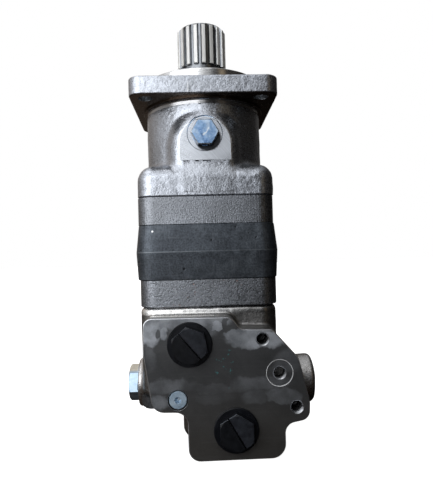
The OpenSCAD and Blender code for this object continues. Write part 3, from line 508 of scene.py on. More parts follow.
def mat_band(name):
    """Satin blue-black phosphate over cast iron: cloudy, finely pitted, rubbed patches."""
    s = Mat(name)
    fine = s.noise(620, 3.0, 0.6)
    mid = s.noise(130, 3.0, 0.6)
    big = s.noise(24, 3.0, 0.55, dist=0.5)
    c = s.ramp(big, [(0.30, (0.050, 0.057, 0.068)), (0.50, (0.068, 0.078, 0.092)), (0.66, (0.105, 0.120, 0.138))])
    c = s.mix(1.0, c, s.ramp(fine, [(0.32, 0.62), (0.68, 1.38)]), "MULTIPLY")
    c = s.mix(1.0, c, s.ramp(mid, [(0.34, 0.82), (0.66, 1.16)]), "MULTIPLY")
    streak = s.noise(900, 2.0, 0.5, s.mapped(scale=(1.0, 1.0, 0.035)))
    rub = s.noise(45, 3.0, 0.55, s.mapped(loc=(0.2, 0.0, 0.4)))
    c = s.mix(s.math("MULTIPLY", s.math("MULTIPLY", s.rng(streak, 0.50, 0.72), s.rng(rub, 0.46, 0.62)), 0.55), c, (0.15, 0.165, 0.185))
    flat = s.noise(620, 2.0, 0.5, s.mapped(scale=(0.06, 0.06, 1.0)))
    c = s.mix(s.math("MULTIPLY", s.rng(flat, 0.60, 0.76), 0.35), c, (0.13, 0.142, 0.158))
    x, y, z = s.xyz()
    fx, fz = s.math("ADD", x, 0.0526), s.math("ADD", z, 0.1494)
    fd = s.math("SQRT", s.math("ADD", s.math("MULTIPLY", fx, fx), s.math("MULTIPLY", fz, fz)))
    fleck = s.math("MULTIPLY", s.rng(fd, 0.0006, 0.0011, 1.0, 0.0), s.rng(y, -0.0600, -0.0590, 1.0, 0.0))
    line = s.rng(s.math("ABSOLUTE", s.math("ADD", z, 0.1695)), 0.0003, 0.0008, 1.0, 0.0)
    c = s.mix(s.math("MULTIPLY", s.math("MULTIPLY", line, s.rng(x, -0.045, 0.020, 1.0, 0.55)), 0.60), c, (0.20, 0.22, 0.24))
    pit = s.voronoi(120)
    pm = s.rng(s.noise(36, 1.0), 0.56, 0.61)
    pits = s.math("MULTIPLY", s.rng(pit, 0.08, 0.20, 1.0, 0.0), pm)
    c = s.mix(pits, c, (0.008, 0.009, 0.010))
    c = s.mix(fleck, c, (0.85, 0.86, 0.88))
    r = s.ramp(mid, [(0.3, 0.30), (0.7, 0.44)])
    h = s.math("SUBTRACT", s.math("ADD", s.math("MULTIPLY", fine, 0.30), s.math("MULTIPLY", mid, 0.6)), s.math("MULTIPLY", pits, 1.3))
    return s.done(c, r, 0.75, s.bump(h, 0.32, 0.0007))


def mat_face(name):
    """Ground port face: smooth dark grey, with lighter dried-oil patches along its top and faint streaks."""
    s = Mat(name)
    x, y, z = s.xyz()
    w = s.noise(34, 4.0, 0.6, dist=0.6)
    w2 = s.noise(80, 3.0, 0.6)
    fine = s.noise(900, 2.0, 0.5)
    wx = s.math("ADD", x, s.math("MULTIPLY", s.math("SUBTRACT", w, 0.5), 0.022))
    wz = s.math("ADD", z, s.math("MULTIPLY", s.math("SUBTRACT", s.noise(41, 4.0, 0.6), 0.5), 0.022))

    def patch(cx, cz, ax, az, amp, soft=0.35, p=2.6):
        a = s.math("POWER", s.math("ABSOLUTE", s.math("DIVIDE", s.math("SUBTRACT", wx, cx * MM), ax * MM)), p)
        b = s.math("POWER", s.math("ABSOLUTE", s.math("DIVIDE", s.math("SUBTRACT", wz, cz * MM), az * MM)), p)
        return s.math("MULTIPLY", s.rng(s.math("ADD", a, b), 1.0 - soft, 1.0 + soft, 1.0, 0.0, True), amp)
    ks = [patch(-22, -232.5, 42, 6.0, 0.60, 0.6), patch(-53, -242, 9, 11, 0.90, 0.55), patch(-40.5, -242.5, 5.0, 6.5, 0.85, 0.5), patch(70, -272, 12, 10, 0.16, 0.9), patch(37, -304, 12, 6, 0.18, 0.8), patch(-12, -239, 20, 7, 0.40, 0.7),
          patch(7.5, -238.5, 5.0, 4.0, 0.95, 0.2), patch(24, -246, 11, 5, 0.75, 0.3), patch(46, -249.0, 30, 8.0, 0.86, 0.75, 3.0),
          patch(-54, -262, 5, 14, 0.14, 0.9), patch(-44, -292, 18, 6, 0.28, 0.8), patch(6, -293, 60, 3.0, 0.09, 0.9), patch(44, -292, 22, 7.0, 0.20, 0.8),
          patch(64, -303, 15, 6.0, 0.26, 0.5), patch(-50, -306, 9, 7, 0.55, 0.8), patch(0, -300, 18, 5.0, 0.07, 0.9)]
    k = ks[0]
    for q in ks[1:]:
        k = s.math("MAXIMUM", k, q)
    k = s.math("MULTIPLY", k, s.math("SUBTRACT", 1.0, patch(-48, -243.5, 3.6, 5.5, 0.85, 0.4)), clamp=True)
    k = s.math("MULTIPLY", k, s.math("SUBTRACT", 1.0, patch(15.0, -236.5, 2.6, 7.0, 0.80, 0.4)), clamp=True)
    k = s.math("MULTIPLY", k, s.rng(w2, 0.28, 0.60, 0.70, 1.0), clamp=True)
    base = s.mix(s.rng(z, -0.345, -0.285, 1.0, 0.0), s.ramp(w, [(0.3, (0.070, 0.072, 0.075)), (0.7, (0.096, 0.098, 0.102))]), s.ramp(w, [(0.3, (0.078, 0.074, 0.070)), (0.7, (0.100, 0.096, 0.091))]))
    hair = s.noise(500, 2.0, 0.5, s.mapped(scale=(0.05, 0.05, 1.0), rot=(0.0, 0.04, 0.0)))
    base = s.mix(s.math("MULTIPLY", s.rng(hair, 0.56, 0.74), 0.12), base, (0.165, 0.170, 0.178))
    stain = s.ramp(w2, [(0.3, (0.34, 0.365, 0.40)), (0.7, (0.56, 0.59, 0.64))])
    c = s.mix(k, base, stain)
    teal = s.math("MULTIPLY", s.rng(s.noise(310, 1.0, vec=s.mapped(loc=(0.3, 0.1, 0.2))), 0.64, 0.70), patch(14, -276, 9, 16, 1.0, 0.5))
    c = s.mix(s.math("MULTIPLY", teal, 0.6), c, (0.10, 0.34, 0.36))
    c = s.mix(1.0, c, s.ramp(fine, [(0.3, 0.94), (0.7, 1.06)]), "MULTIPLY")
    r = s.ramp(w2, [(0.3, 0.30), (0.7, 0.42)])
    return s.done(c, r, 0.55, s.bump(fine, 0.10, 0.0002))


def mat_plastic(name):
    s = Mat(name)
    g = s.noise(120, 3.0, 0.55)
    f = s.noise(900, 2.0, 0.5)
    c = s.ramp(g, [(0.3, (0.003, 0.0035, 0.005)), (0.7, (0.007, 0.008, 0.011))])
    x, y, z = s.xyz()
    head = s.rng(y, -0.1014, -0.1010, 1.0, 0.0)
    dust = s.ramp(s.noise(240, 4.0, 0.62), [(0.32, (0.010, 0.011, 0.014)), (0.70, (0.026, 0.029, 0.036))])
    halves = None
    for cx, cz, nx, nz in ((-18.9, -253.8, 0.77, 0.64), (21.5, -332.4, 0.87, 0.50)):
        px, pz = s.math("SUBTRACT", x, cx * MM), s.math("SUBTRACT", z, cz * MM)
        near = s.rng(s.math("ADD", s.math("ABSOLUTE", px), s.math("ABSOLUTE", pz)), 0.030, 0.031, 1.0, 0.0)
        q = s.math("MULTIPLY", near, s.rng(s.math("ADD", s.math("MULTIPLY", px, nx), s.math("MULTIPLY", pz, nz)), -0.001, 0.001))
        halves = q if halves is None else s.math("MAXIMUM", halves, q)
    dust = s.mix(1.0, dust, s.ramp(halves, [(0.0, 0.38), (1.0, 1.15)]), "MULTIPLY")
    c = s.mix(head, c, dust)
    # painted highlight along the upper-left edges of each plug head
    for cx, cz, rot in ((-18.9, -253.8, 40.0), (21.5, -332.4, 30.0)):
        px, pz = s.math("SUBTRACT", x, cx * MM), s.math("SUBTRACT", z, cz * MM)
        near = s.rng(s.math("ADD", s.math("ABSOLUTE", px), s.math("ABSOLUTE", pz)), 0.030, 0.031, 1.0, 0.0)
        rim = s.math("SQRT", s.math("ADD", s.math("MULTIPLY", px, px), s.math("MULTIPLY", pz, pz)))
        up = s.rng(s.math("SUBTRACT", s.math("MULTIPLY", pz, 0.8), s.math("MULTIPLY", px, 0.6)), 0.002, 0.012)
        edge = s.math("MULTIPLY", s.math("MULTIPLY", s.rng(y, -0.1014, -0.1008), s.rng(y, -0.1004, -0.0996, 1.0, 0.0)), up)
        c = s.mix(s.math("MULTIPLY", s.math("MULTIPLY", edge, near), 0.8), c, (0.20, 0.22, 0.25))
    r = s.ramp(g, [(0.3, 0.30), (0.7, 0.42)])
    return s.done(c, r, 0.0, s.bump(f, 0.12, 0.0002), Specular_IOR_Level=0.22)


def mat_rubber(name):
    s = Mat(name)
    f = s.noise(700, 2.0, 0.5)
    c = s.ramp(f, [(0.3, (0.010, 0.010, 0.011)), (0.7, (0.022, 0.022, 0.023))])
    return s.done(c, 0.55, 0.0, s.bump(f, 0.2, 0.0002))


def mat_dark_steel(name):
    s = Mat(name)
    f = s.noise(420, 3.0, 0.6)
    g = s.noise(50, 2.0, 0.5)
    c = s.mix(1.0, s.ramp(f, [(0.3, (0.05, 0.052, 0.056)), (0.7, (0.11, 0.112, 0.118))]), s.ramp(g, [(0.3, 0.8), (0.7, 1.15)]), "MULTIPLY")
    return s.done(c, s.ramp(g, [(0.3, 0.38), (0.7, 0.5)]), 0.7, s.bump(f, 0.2, 0.0003))


M = {
    "cast": mat_cast("cast_iron_blasted", 0.39, 0.63, rough=0.30, grain=0.32, mark=True),
    "cast_plate": mat_cast("cast_iron_plate", 0.19, 0.38, 0.31, rust=0.8, rough=0.31, grain=0.42),
    "cast_wear": mat_cast("cast_iron_wear_plate", 0.19, 0.38, 0.57, rough=0.31, grain=0.42),
    # lighter copy of the valve housing iron for its top rim: painted highlight
    "cast_rim_highlight": mat_cast("cast_iron_rim_painted_highlight", 0.76, 0.86, 0.41, rough=0.27, grain=0.07, tint=(1.0, 0.99, 0.97), painted_side_light=True),
    "cast_valve": mat_cast("cast_iron_valve_housing", 0.18, 0.32, 0.83, grain=0.4, tint=(1.0, 0.985, 0.965)),
    # lighter copy of the valve housing iron for the side bosses: painted highlight
    "cast_boss_highlight": mat_cast("cast_iron_boss_painted_highlight", 0.50, 0.68, 0.23, rough=0.30, grain=0.30, tint=(1.0, 0.985, 0.97)),
    # dark brown tone for the faces under the flange: painted shade
    "under": mat_machined("flange_underside_painted_shade", (0.16, 0.125, 0.10), 0.24, lines=600, direction="none", metal=0.95),
    "turned": mat_machined("turned_pilot", (0.70, 0.70, 0.70), 0.17, lines=900, direction="z"),
    "collar": mat_machined("turned_collar", (0.60, 0.605, 0.62), 0.20, lines=900, direction="z"),
    "pad": mat_pad("pad_milled", (0.70, 0.73, 0.78), 0.27),
    "steel": mat_machined("ground_steel", (0.64, 0.64, 0.645), 0.17, lines=900, direction="z"),
    "inner": mat_machined("machined_iron", (0.42, 0.42, 0.42), 0.35, lines=800, direction="none"),
    "thread": mat_machined("cut_thread", (0.42, 0.43, 0.45), 0.24, lines=900, direction="none"),
    "bore": mat_machined("drilled_bore", (0.38, 0.40, 0.42), 0.24, lines=700, direction="z"),
    # near-black for the deep parts of holes and the gap round the face plug: painted shade
    "depth": mat_machined("hole_painted_shade", (0.030, 0.030, 0.032), 0.35, lines=700, direction="none", metal=0.4),
    # light, barely metallic rim round the signal port spotface: painted highlight
    "ring": mat_machined("rim_painted_highlight", (0.78, 0.79, 0.80), 0.42, lines=500, direction="none", metal=0.15),
    "shaft": mat_spline("shaft_steel"),
    "zinc": mat_zinc("zinc_plating", gain=1.3, pale=0.85, metal=0.45, face_shade_glint=(-30.7, -303.8, 7.8)),
    "zinc_sel": mat_zinc("zinc_plating_beige_top", gain=1.2, warm=-0.2905, pale=0.72),
    "zinc_edge": mat_machined("zinc_edge_rubbed", (0.86, 0.90, 0.94), 0.24, lines=500, direction="none"),
    # darker zinc for faces under and behind the drain plug hex: painted shade
    "zinc_shaded": mat_zinc("zinc_plating_painted_shade", gain=0.30),
    "zinc_hex": mat_zinc("zinc_plating_rubbed", (-0.0015, -0.0585, 0.0050, -0.0505)),
    "band": mat_band("phosphated_ring"),
    "face": mat_face("ground_port_face"),
    "plastic": mat_plastic("black_plastic"),
    "rubber": mat_rubber("nitrile"),
    "dark": mat_dark_steel("black_oxide_steel"),
}

# every carried-over CAD node gets its material
for name, ob in NODES.items():
    if "seal" in name:
        k = "rubber"
    elif name == "case_drain_plug":
        k = "zinc_hex"
    elif name == "selector_plug":
        k = "zinc_sel"
    elif name == "face_plug":
        k = "zinc"
    elif name in ("long_bolts", "cover_screws", "selector_spring", "balance_spring", "shaft_nut"):
        k = "dark"
    elif name == "front_cover":
        k = "inner"
    elif name.startswith("port_plug"):
        k = "plastic"
    elif name == "roller_ring":
        k = "band"
    elif name == "wear_plate":
        k = "cast_wear"
    elif name == "valve_plate":
        k = "cast_plate"
    elif name == "valve_housing":
        k = "cast_valve"
    elif name == "bearing_housing":
        k = "cast"
    elif name in ("balance_ring", "disc_valve", "main_drive", "valve_drive", "drive_spacer"):
        k = "inner"
    elif name == "output_shaft":
        k = "shaft"
    else:
        k = "steel"
    ob.data.materials.clear()
    ob.data.materials.append(M[k])

# ------------------------------------------------------------------ bearing housing, cast skin
Z1, Z2, Z3, Z4 = -115.2, -143.0, -196.4, -222.7
BH, BR = 67.3, 16.0


def f_bearing(x, y, z):
    cyl = hyp(x - 0.2, y) - 61.8
    blk = r_inter(rsq(x, y, BH + 0.2, BR), z + 84.0, 15.5)
    d = r_union(cyl, blk, 8.0)
    # case drain boss, drafted, its foot filleted
    zc = -64.1
    arch = np.where(z > zc, hyp(x - 0.3, z - zc), np.abs(x - 0.3))
    side = arch - (33.6 + (y + 63.9) * 0.14)
    boss = r_inter(side, -64.5 - y, 12.0)
    boss = np.maximum(boss, y + 30)
    boss = np.maximum(boss, -108.0 - z)
    d = r_union(d, boss, 4.6)
    d = d + 0.22 * noise3(x, y, z, 9.0, 3) + 0.12 * noise3(x, y, z, 3.0, 4)
    # milled pad
    pad = box(x, y, z, (-39, -90, -80.4), (40, -63.9, -20))
    d = np.maximum(d, -pad)
    tear = box(x, y, z + 0.7 * noise3(x, y, z, 5.0, 9), (-22, -70, -82.6), (24, -64.15, -81.2), 0.3)
    d = np.maximum(d, -np.where(noise3(x, y, z, 4.0, 10) > -0.05, tear, 1.0))
    d = np.maximum(d, z + 23.4)
    d = np.maximum(d, z + 10)
    # mounting flange, pilot, step at the underside
    fl = r_inter(rsq(x, y, 73.2, 13.0), np.abs(z + 8.7) - 8.7, 1.1)
    fl = fl + 0.10 * noise3(x, y, z, 3.0, 8) * np.clip((rsq(x, y, 73.2, 13.0) + 3.0) / 2.5, 0, 1)
    fl = np.minimum(fl, cyl_z(x, y, z, 0, 0, 58.0, -40, -10, 0))
    fl = np.minimum(fl, cyl_z(x, y, z, 0, 0, 63.5, -8, 11.1, 0.9))
    d = np.minimum(d, fl)
    hx = np.abs(np.abs(x) - 57.25)
    hy = np.abs(np.abs(y) - 57.25)
    d = np.maximum(d, -np.maximum(hyp(hx, hy) - 7.15, -26.0 - z))
    d = np.maximum(d, -cyl_z(x, y, z, 0, 0, 60.3, 3.6, 30, 0))
    d = np.maximum(d, -cyl_y(x, y, z, 0.3, -54.3, 18.0, -80, -63.0, 0))
    d = np.maximum(d, -cyl_y(x, y, z, 0.3, -54.3, 11.6, -80, -60.6, 0))
    d = np.maximum(d, -cyl_y(x, y, z, 0.3, -54.3, 9.6, -80, -40, 0))
    d = np.maximum(d, -cyl_z(x, y, z, 0, 0, 50.0, -36, 30, 0))
    d = np.maximum(d, -cyl_z(x, y, z, 0, 0, 45.0, -70, -30, 0))
    d = np.maximum(d, -cyl_z(x, y, z, 0, 0, 50.0, -130, -64, 0))
    bx_, by_ = np.abs(np.abs(x) - 54), np.abs(np.abs(y) - 54)
    d = np.maximum(d, -np.maximum(hyp(bx_, by_) - 8.05, z + 96))
    return r_inter(d, Z1 - z, 0.7)


H = 0.85
V, Q, N = nets(f_bearing, (-74.5, -74.5, Z1 - 1.5), (74.5, 74.5, 12.8), H, "bh")
fc = V[Q].mean(1)
fn = np.cross(V[Q[:, 2]] - V[Q[:, 0]], V[Q[:, 3]] - V[Q[:, 1]])
fn /= np.maximum(np.linalg.norm(fn, axis=1), 1e-9)[:, None]
rr = np.hypot(fc[:, 0], fc[:, 1])
mi = np.zeros(len(Q), int)
mi[(fc[:, 2] > -23.3) | ((fc[:, 2] > -23.9) & (rr < 60.0))] = 1
edge = (rsq(fc[:, 0], fc[:, 1], 73.2, 13.0) > -1.2) & (fc[:, 2] < -0.4) & (fc[:, 2] > -18.0)
mi[edge] = 0
# down-facing faces under the flange take the dark brown tone: painted shade
mi[(fn[:, 2] < -0.8) & (fc[:, 2] < -16.5) & (fc[:, 2] > -20) & (rr > 61.2)] = 3
mi[(np.hypot(np.abs(np.abs(fc[:, 0]) - 57.25), np.abs(np.abs(fc[:, 1]) - 57.25)) < 7.5) & (fc[:, 2] > -20.0)] = 4
pad = (np.abs(fc[:, 1] + 63.9) < 0.25) & (fn[:, 1] < -0.9) & (fc[:, 2] > -80.3) & (np.abs(fc[:, 0]) < 28)
mi[pad] = 2
mi[(np.hypot(fc[:, 0] - 0.3, fc[:, 2] + 54.1) < 17.1) & (fc[:, 1] < -55)] = 2
ob = mesh_from(V, Q, "bearing_housing_skin", (M["cast"], M["turned"], M["pad"], M["under"], M["bore"]), mi, N)
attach(ob, "housing")
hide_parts("bearing_housing")

def loft(name, rings, mats, ring_mat, cap0=None, cap1=None, closed=False, angle=30.0):
    """Joins rings of the same length, one after the other; ring_mat gives the material of each strip."""
    n = len(rings[0])
    vs = [tuple(c * MM for c in q) for r in rings for q in r]
    fs, mt = [], []
    k = len(rings)
    for j in range(k if closed else k - 1):
        a, b = j * n, ((j + 1) % k) * n
        for i in range(n):
            fs.append((a + i, a + (i + 1) % n, b + (i + 1) % n, b + i))
            mt.append(ring_mat[j])
    for base, c, m_, flip in ((0, cap0, ring_mat[0], True), ((k - 1) * n, cap1, ring_mat[-1], False)):
        if c is None:
            continue
        vs.append(tuple(q * MM for q in c))
        for i in range(n):
            f = (base + i, base + (i + 1) % n, len(vs) - 1)
            fs.append(f[::-1] if flip else f)
            mt.append(m_)
    me = bpy.data.meshes.new(name)
    me.from_pydata(vs, [], fs)
    for q in mats:
        me.materials.append(q)
    me.polygons.foreach_set("material_index", np.array(mt, np.int32))
    me.polygons.foreach_set("use_smooth", np.ones(len(me.polygons), bool))
    me.update()
    me.set_sharp_from_angle(angle=math.radians(angle))
    ob = bpy.data.objects.new(name, me)
    bpy.context.collection.objects.link(ob)
    return ob


# turned collar between flange and neck: a step and a steep cone
prof = [(65.0, -17.0), (65.0, -18.6), (64.7, -18.9), (61.4, -18.9), (60.5, -19.1), (60.1, -19.5), (59.9, -20.0), (58.7, -24.6), (57.4, -25.0), (57.4, -17.0)]
NC = 256
rings = [[(r * math.cos(2 * math.pi * i / NC), r * math.sin(2 * math.pi * i / NC), z) for i in range(NC)] for r, z in reversed(prof)]
# the strips next to the flange take the dark brown painted shade, the cone the turned steel
flags = [1 if min(z0, z1) < -18.95 else 0 for (r0, z0), (r1, z1) in zip(list(reversed(prof)), list(reversed(prof))[1:] + [prof[-1]])]
ob = loft("neck_collar", rings, (M["under"], M["collar"]), flags, closed=True)
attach(ob, "housing")

# hexagon plug of the case drain
PX, PZ = 0.3, -54.3
lo_, hi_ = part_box("case_drain_plug")
YF = lo_[1] / MM
NP = 96


def hexr(a, af):
    return af / 2 / math.cos(math.radians((a % 60.0) - 30.0))


def pring(y, f):
    out = []
    for i in range(NP):
        a = 360.0 * i / NP
        r = f(a)
        out.append((PX + r * math.cos(math.radians(a)), y, PZ + r * math.sin(math.radians(a))))
    return out


rings = [pring(-52.2, lambda a: 9.0), pring(-52.8, lambda a: 9.4), pring(-60.9, lambda a: 9.4), pring(-60.9, lambda a: 8.2), pring(-63.5, lambda a: 8.2),
         pring(-63.5, lambda a: 12.4), pring(YF + 7.0, lambda a: 12.4), pring(YF + 7.0, lambda a: hexr(a, 23.9)),
         pring(YF + 0.75, lambda a: hexr(a, 23.9)), pring(YF + 0.35, lambda a: min(hexr(a, 23.5), 13.35)), pring(YF, lambda a: min(hexr(a, 22.5), 12.85)), pring(YF, lambda a: 9.5 if a % 60 else 9.6)]
ob = loft("case_drain_hexagon", rings, (M["zinc_hex"], M["zinc_edge"], M["zinc_shaded"]), [2, 2, 2, 2, 2, 2, 2, 2, 1, 1, 0, 0], (PX, -52.2, PZ), (PX, YF, PZ))
# faces under the hex and inside the spotface keep the darker zinc: painted shade
low = ob.data
mid_ = [p.index for p in low.polygons if p.material_index == 2 and p.normal.z > -0.3 and p.center.y < -0.0645]
for q in mid_:
    low.polygons[q].material_index = 0
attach(ob, "housing")
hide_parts("case_drain_plug")

# ------------------------------------------------------------------ valve housing, cast skin and ground face
def round_poly(c, n=8):
    out = []
    L = len(c)
    for i in range(L):
        a, b, d = (np.array(c[(i + k) % L][:2], float) for k in (-1, 0, 1))
        r = c[i][2]
        u = (a - b) / np.linalg.norm(a - b)
        v = (d - b) / np.linalg.norm(d - b)
        k = math.acos(max(-1, min(1, float(u @ v))))
        t = r / math.tan(k / 2)
        o = b + (u + v) / np.linalg.norm(u + v) * (r / math.sin(k / 2))
        s, e = b + u * t - o, b + v * t - o
        a0 = math.atan2(s[1], s[0])
        da = math.atan2(e[1], e[0]) - a0
        da = da - 2 * math.pi if da > math.pi else (da + 2 * math.pi if da < -math.pi else da)
        out += [o + r * np.array([math.cos(a0 + da * q / n), math.sin(a0 + da * q / n)]) for q in range(n + 1)]
    return np.array(out)


OUT = [[-61.0, -229.4, 8], [19.9, -230.2, 10], [27.9, -241.6, 8], [57.0, -242.6, 6], [80.3, -269.0, 14],
       [89.7, -309, 22], [89.0, -325.2, 9], [66.4, -329.2, 10], [66.4, -359.5, 13], [-22, -359.6, 11],
       [-22.6, -315.4, 11], [-53.6, -314.4, 12], [-61.4, -262, 25]]
OUTLINE = round_poly(OUT, 10)
SY, SZ = -24.0, -304.2
_grid = {}


def outline_sdf(x, z):
    """Distance to the port face outline, from a fine table."""
    if "t" not in _grid:
        gx = np.arange(-75, 104, 0.5)
        gz = np.arange(-375, -214, 0.5)
        X, Z = np.meshgrid(gx, gz, indexing="ij")
        _grid["t"] = poly_sdf(X, Z, OUTLINE)
    t = _grid["t"]
    u = np.clip((x + 75) / 0.5, 0, t.shape[0] - 1.001)
    v = np.clip((z + 375) / 0.5, 0, t.shape[1] - 1.001)
    i, j = u.astype(int), v.astype(int)
    a, b = u - i, v - j
    return t[i, j] * (1 - a) * (1 - b) + t[i + 1, j] * a * (1 - b) + t[i, j + 1] * (1 - a) * b + t[i + 1, j + 1] * a * b


def f_valve(x, y, z):
    d = r_inter(rsq(x, y, BH - 0.55, BR), np.abs(z + 265.85) - 43.15, 6.0)
    foot = box(x, y, z, (-27, -74, -346), (39, 20, -290), 9.0)
    d = r_union(d, foot, 5.0)
    left = cyl_x(x, y, z, SY, SZ, 24.0, -73, 40, 2.4)
    right = cyl_x(x, y, z, SY, SZ - 1, 24.0, 20, 106.6, 4.6)
    dome = np.sqrt((x - 88.7) ** 2 + (y - SY) ** 2 + (z - SZ + 9.5) ** 2) - 21.6
    right = r_union(right, dome, 4.0)
    d = r_union(d, left, 5.0)
    d = r_union(d, right, 6.0)
    web = box(x, y, z, (40, -70, -320), (79, -30, -283), 5.0)
    d = r_union(d, web, 4.0)
    d = d + 0.20 * noise3(x, y, z, 9.0, 5) + 0.09 * noise3(x, y, z, 3.2, 6)
    plate = outline_sdf(x, z) + 0.15
    plate = r_inter(plate, np.abs(y + 75.0) - 15.4, 1.2)
    d = r_union(d, plate, 3.0)
    for sx in (-1, 1):
        for sy in (-1, 1):
            d = np.maximum(d, -cyl_z(x, y, z, 54 * sx, 54 * sy, 14.6, -360, -309, 0))
    d = np.maximum(d, -cyl_x(x, y, z, SY, SZ, 15.4, -90, -70.4, 0))
    d = np.maximum(d, -cyl_x(x, y, z, SY, SZ, 18.4, -90, -72.6, 0))
    d = np.maximum(d, -cyl_y(x, y, z, -18.9, -253.8, 17.5, -100, -70, 0))
    d = np.maximum(d, -cyl_y(x, y, z, 21.5, -332.4, 17.5, -100, -70, 0))
    d = np.maximum(d, -cyl_y(x, y, z, 62.4, -282.5, 7.4, -100, -78, 0))
    d = np.maximum(d, -cyl_y(x, y, z, 47.6, -251.1, 7.0, -100, -68, 0))
    d = np.maximum(d, -cyl_y(x, y, z, 77.3, -313.6, 7.0, -100, -68, 0))
    d = np.maximum(d, -cyl_y(x, y, z, -30.7, -303.8, 9.6, -100, -76, 0))
    d = np.maximum(d, -cyl_z(x, y, z, 0, 0, 54.0, -240, -200, 0))
    d = np.maximum(d, -cyl_z(x, y, z, 0, 0, 48.05, -266, -230, 0))
    d = np.maximum(d, -cyl_z(x, y, z, 0, 0, 23.0, -279, -240, 0))
    bx_, by_ = np.abs(np.abs(x) - 54), np.abs(np.abs(y) - 54)
    d = np.maximum(d, -np.maximum(hyp(bx_, by_) - 8.5, -319 - z))
    d = np.maximum(d, -cyl_x(x, y, z, SY, SZ, 12.0, -90, 95, 0))
    d = np.maximum(d, -cyl_x(x, y, z, SY, SZ, 13.5, -90, -56, 0))
    return d


V, Q, N = nets(f_valve, (-78, -93, -364), (113, 68.5, -220.5), H * 1.12, "vh")
fc = V[Q].mean(1)
# the band along the top rim takes the lighter iron: painted highlight
mi = (fc[:, 2] > Z4 - 7.5).astype(int)
# the side bosses take another lighter iron: painted highlight
near = np.hypot(fc[:, 1] - SY, fc[:, 2] - SZ) < 30
mi[near & ((fc[:, 0] < -60.5) | (fc[:, 0] > 86))] = 2
ob = mesh_from(V, Q, "valve_housing_skin", (M["cast_valve"], M["cast_rim_highlight"], M["cast_boss_highlight"]), mi, N)
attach(ob, "housing")
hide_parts("valve_housing")


def circle(cx, cz, r, n=64):
    a = np.arange(n) * 2 * np.pi / n
    return np.stack([cx + r * np.cos(a), cz + r * np.sin(a)], 1)


def inset(poly, d):
    """Moves a closed outline inward by d (counter-clockwise or clockwise)."""
    p = np.asarray(poly)
    a = np.roll(p, 1, 0)
    b = np.roll(p, -1, 0)
    t = b - a
    t /= np.linalg.norm(t, axis=1)[:, None]
    nrm = np.stack([-t[:, 1], t[:, 0]], 1)
    area = 0.5 * np.sum(p[:, 0] * b[:, 1] - b[:, 0] * p[:, 1])
    return p + nrm * (d if area > 0 else -d)


from mathutils.geometry import delaunay_2d_cdt


def plate_mesh(name, outer, holes, y_front, depth, cham, mats, hole_specs):
    """Flat face toward -Y with chamfered rim and drilled holes.
    hole_specs: list of (cx, cz, [(radius, y), ...]) profiles going inward."""
    vs, fs, mt = [], [], []

    def add_ring(pts, y):
        k = len(vs)
        vs.extend([(p[0], y, p[1]) for p in pts])
        return list(range(k, k + len(pts)))

    def strip(a, b, mat, flip=False):
        n = len(a)
        for i in range(n):
            q = (a[i], a[(i + 1) % n], b[(i + 1) % n], b[i])
            fs.append(q[::-1] if flip else q)
            mt.append(mat)
    inner = inset(outer, cham)
    mid = inset(outer, cham * 0.3)
    r0 = add_ring(outer, y_front + depth)
    r1 = add_ring(outer, y_front + cham)
    r2 = add_ring(mid, y_front + cham * 0.3)
    r3 = add_ring(inner, y_front)
    strip(r0, r1, 1)
    strip(r1, r2, 2)
    strip(r2, r3, 2)
    loops = [r3]
    for cx, cz, prof in hole_specs:
        n = 72 if prof[0][0] > 8 else 48
        prev = None
        for j, (r, y, pm) in enumerate(prof):
            ring = add_ring(circle(cx, cz, r, n), y) if r > 0 else None
            if j == 0:
                loops.append(ring)
            elif ring is not None:
                strip(prev, ring, prof[j - 1][2], True)
            else:
                c = len(vs)
                vs.append((cx, y, cz))
                for i in range(n):
                    fs.append((prev[(i + 1) % n], prev[i], c))
                    # hole floors: painted shade
                    mt.append(5)
            prev = ring if ring is not None else prev
    ids = [i for lp in loops for i in lp]
    co = [Vector((vs[i][0], vs[i][2])) for i in ids]
    edges = []
    k = 0
    for lp in loops:
        edges += [(k + i, k + (i + 1) % len(lp)) for i in range(len(lp))]
        k += len(lp)
    v2, e2, f2, ov, oe, of = delaunay_2d_cdt(co, edges, [], 0, 1e-7)
    base = np.array([[p[0], p[1]] for p in co])
    cents = np.array([[sum(v2[i][0] for i in f) / len(f), sum(v2[i][1] for i in f) / len(f)] for f in f2])
    ins = poly_sdf(cents[:, 0], cents[:, 1], inner) < 0
    for cx, cz, prof in hole_specs:
        ins &= np.hypot(cents[:, 0] - cx, cents[:, 1] - cz) > prof[0][0] * 0.9985 - 0.02
    back = [ids[o[0]] if len(o) else None for o in ov]
    for f, ok in zip(f2, ins):
        if not ok:
            continue
        q = [back[i] for i in f]
        if None in q:
            continue
        a, b, c = (np.array(v2[i]) for i in f[:3])
        area = (b[0] - a[0]) * (c[1] - a[1]) - (c[0] - a[0]) * (b[1] - a[1])
        # seen from -Y, +X right and +Z up: counter-clockwise faces point to -Y
        fs.append(tuple(q) if area > 0 else tuple(q[::-1]))
        mt.append(0)
    me = bpy.data.meshes.new(name)
    me.from_pydata([tuple(c * MM for c in v) for v in vs], [], fs)
    for q in mats:
        me.materials.append(q)
    me.polygons.foreach_set("material_index", np.array(mt, np.int32))
    me.update()
    ob = bpy.data.objects.new(name, me)
    bpy.context.collection.objects.link(ob)
    return ob


FY = -92.0


def thread(r, depth, pitch, start, turns):
    """Cut thread as V grooves: profile points going inward."""
    out = []
    for i in range(turns):
        y = FY + start + i * pitch
        # turns past the third take the near-black painted shade
        k = 3 if i < 3 else 5
        out += [(r + depth, y + pitch * 0.45, k), (r, y + pitch, k)]
    return out
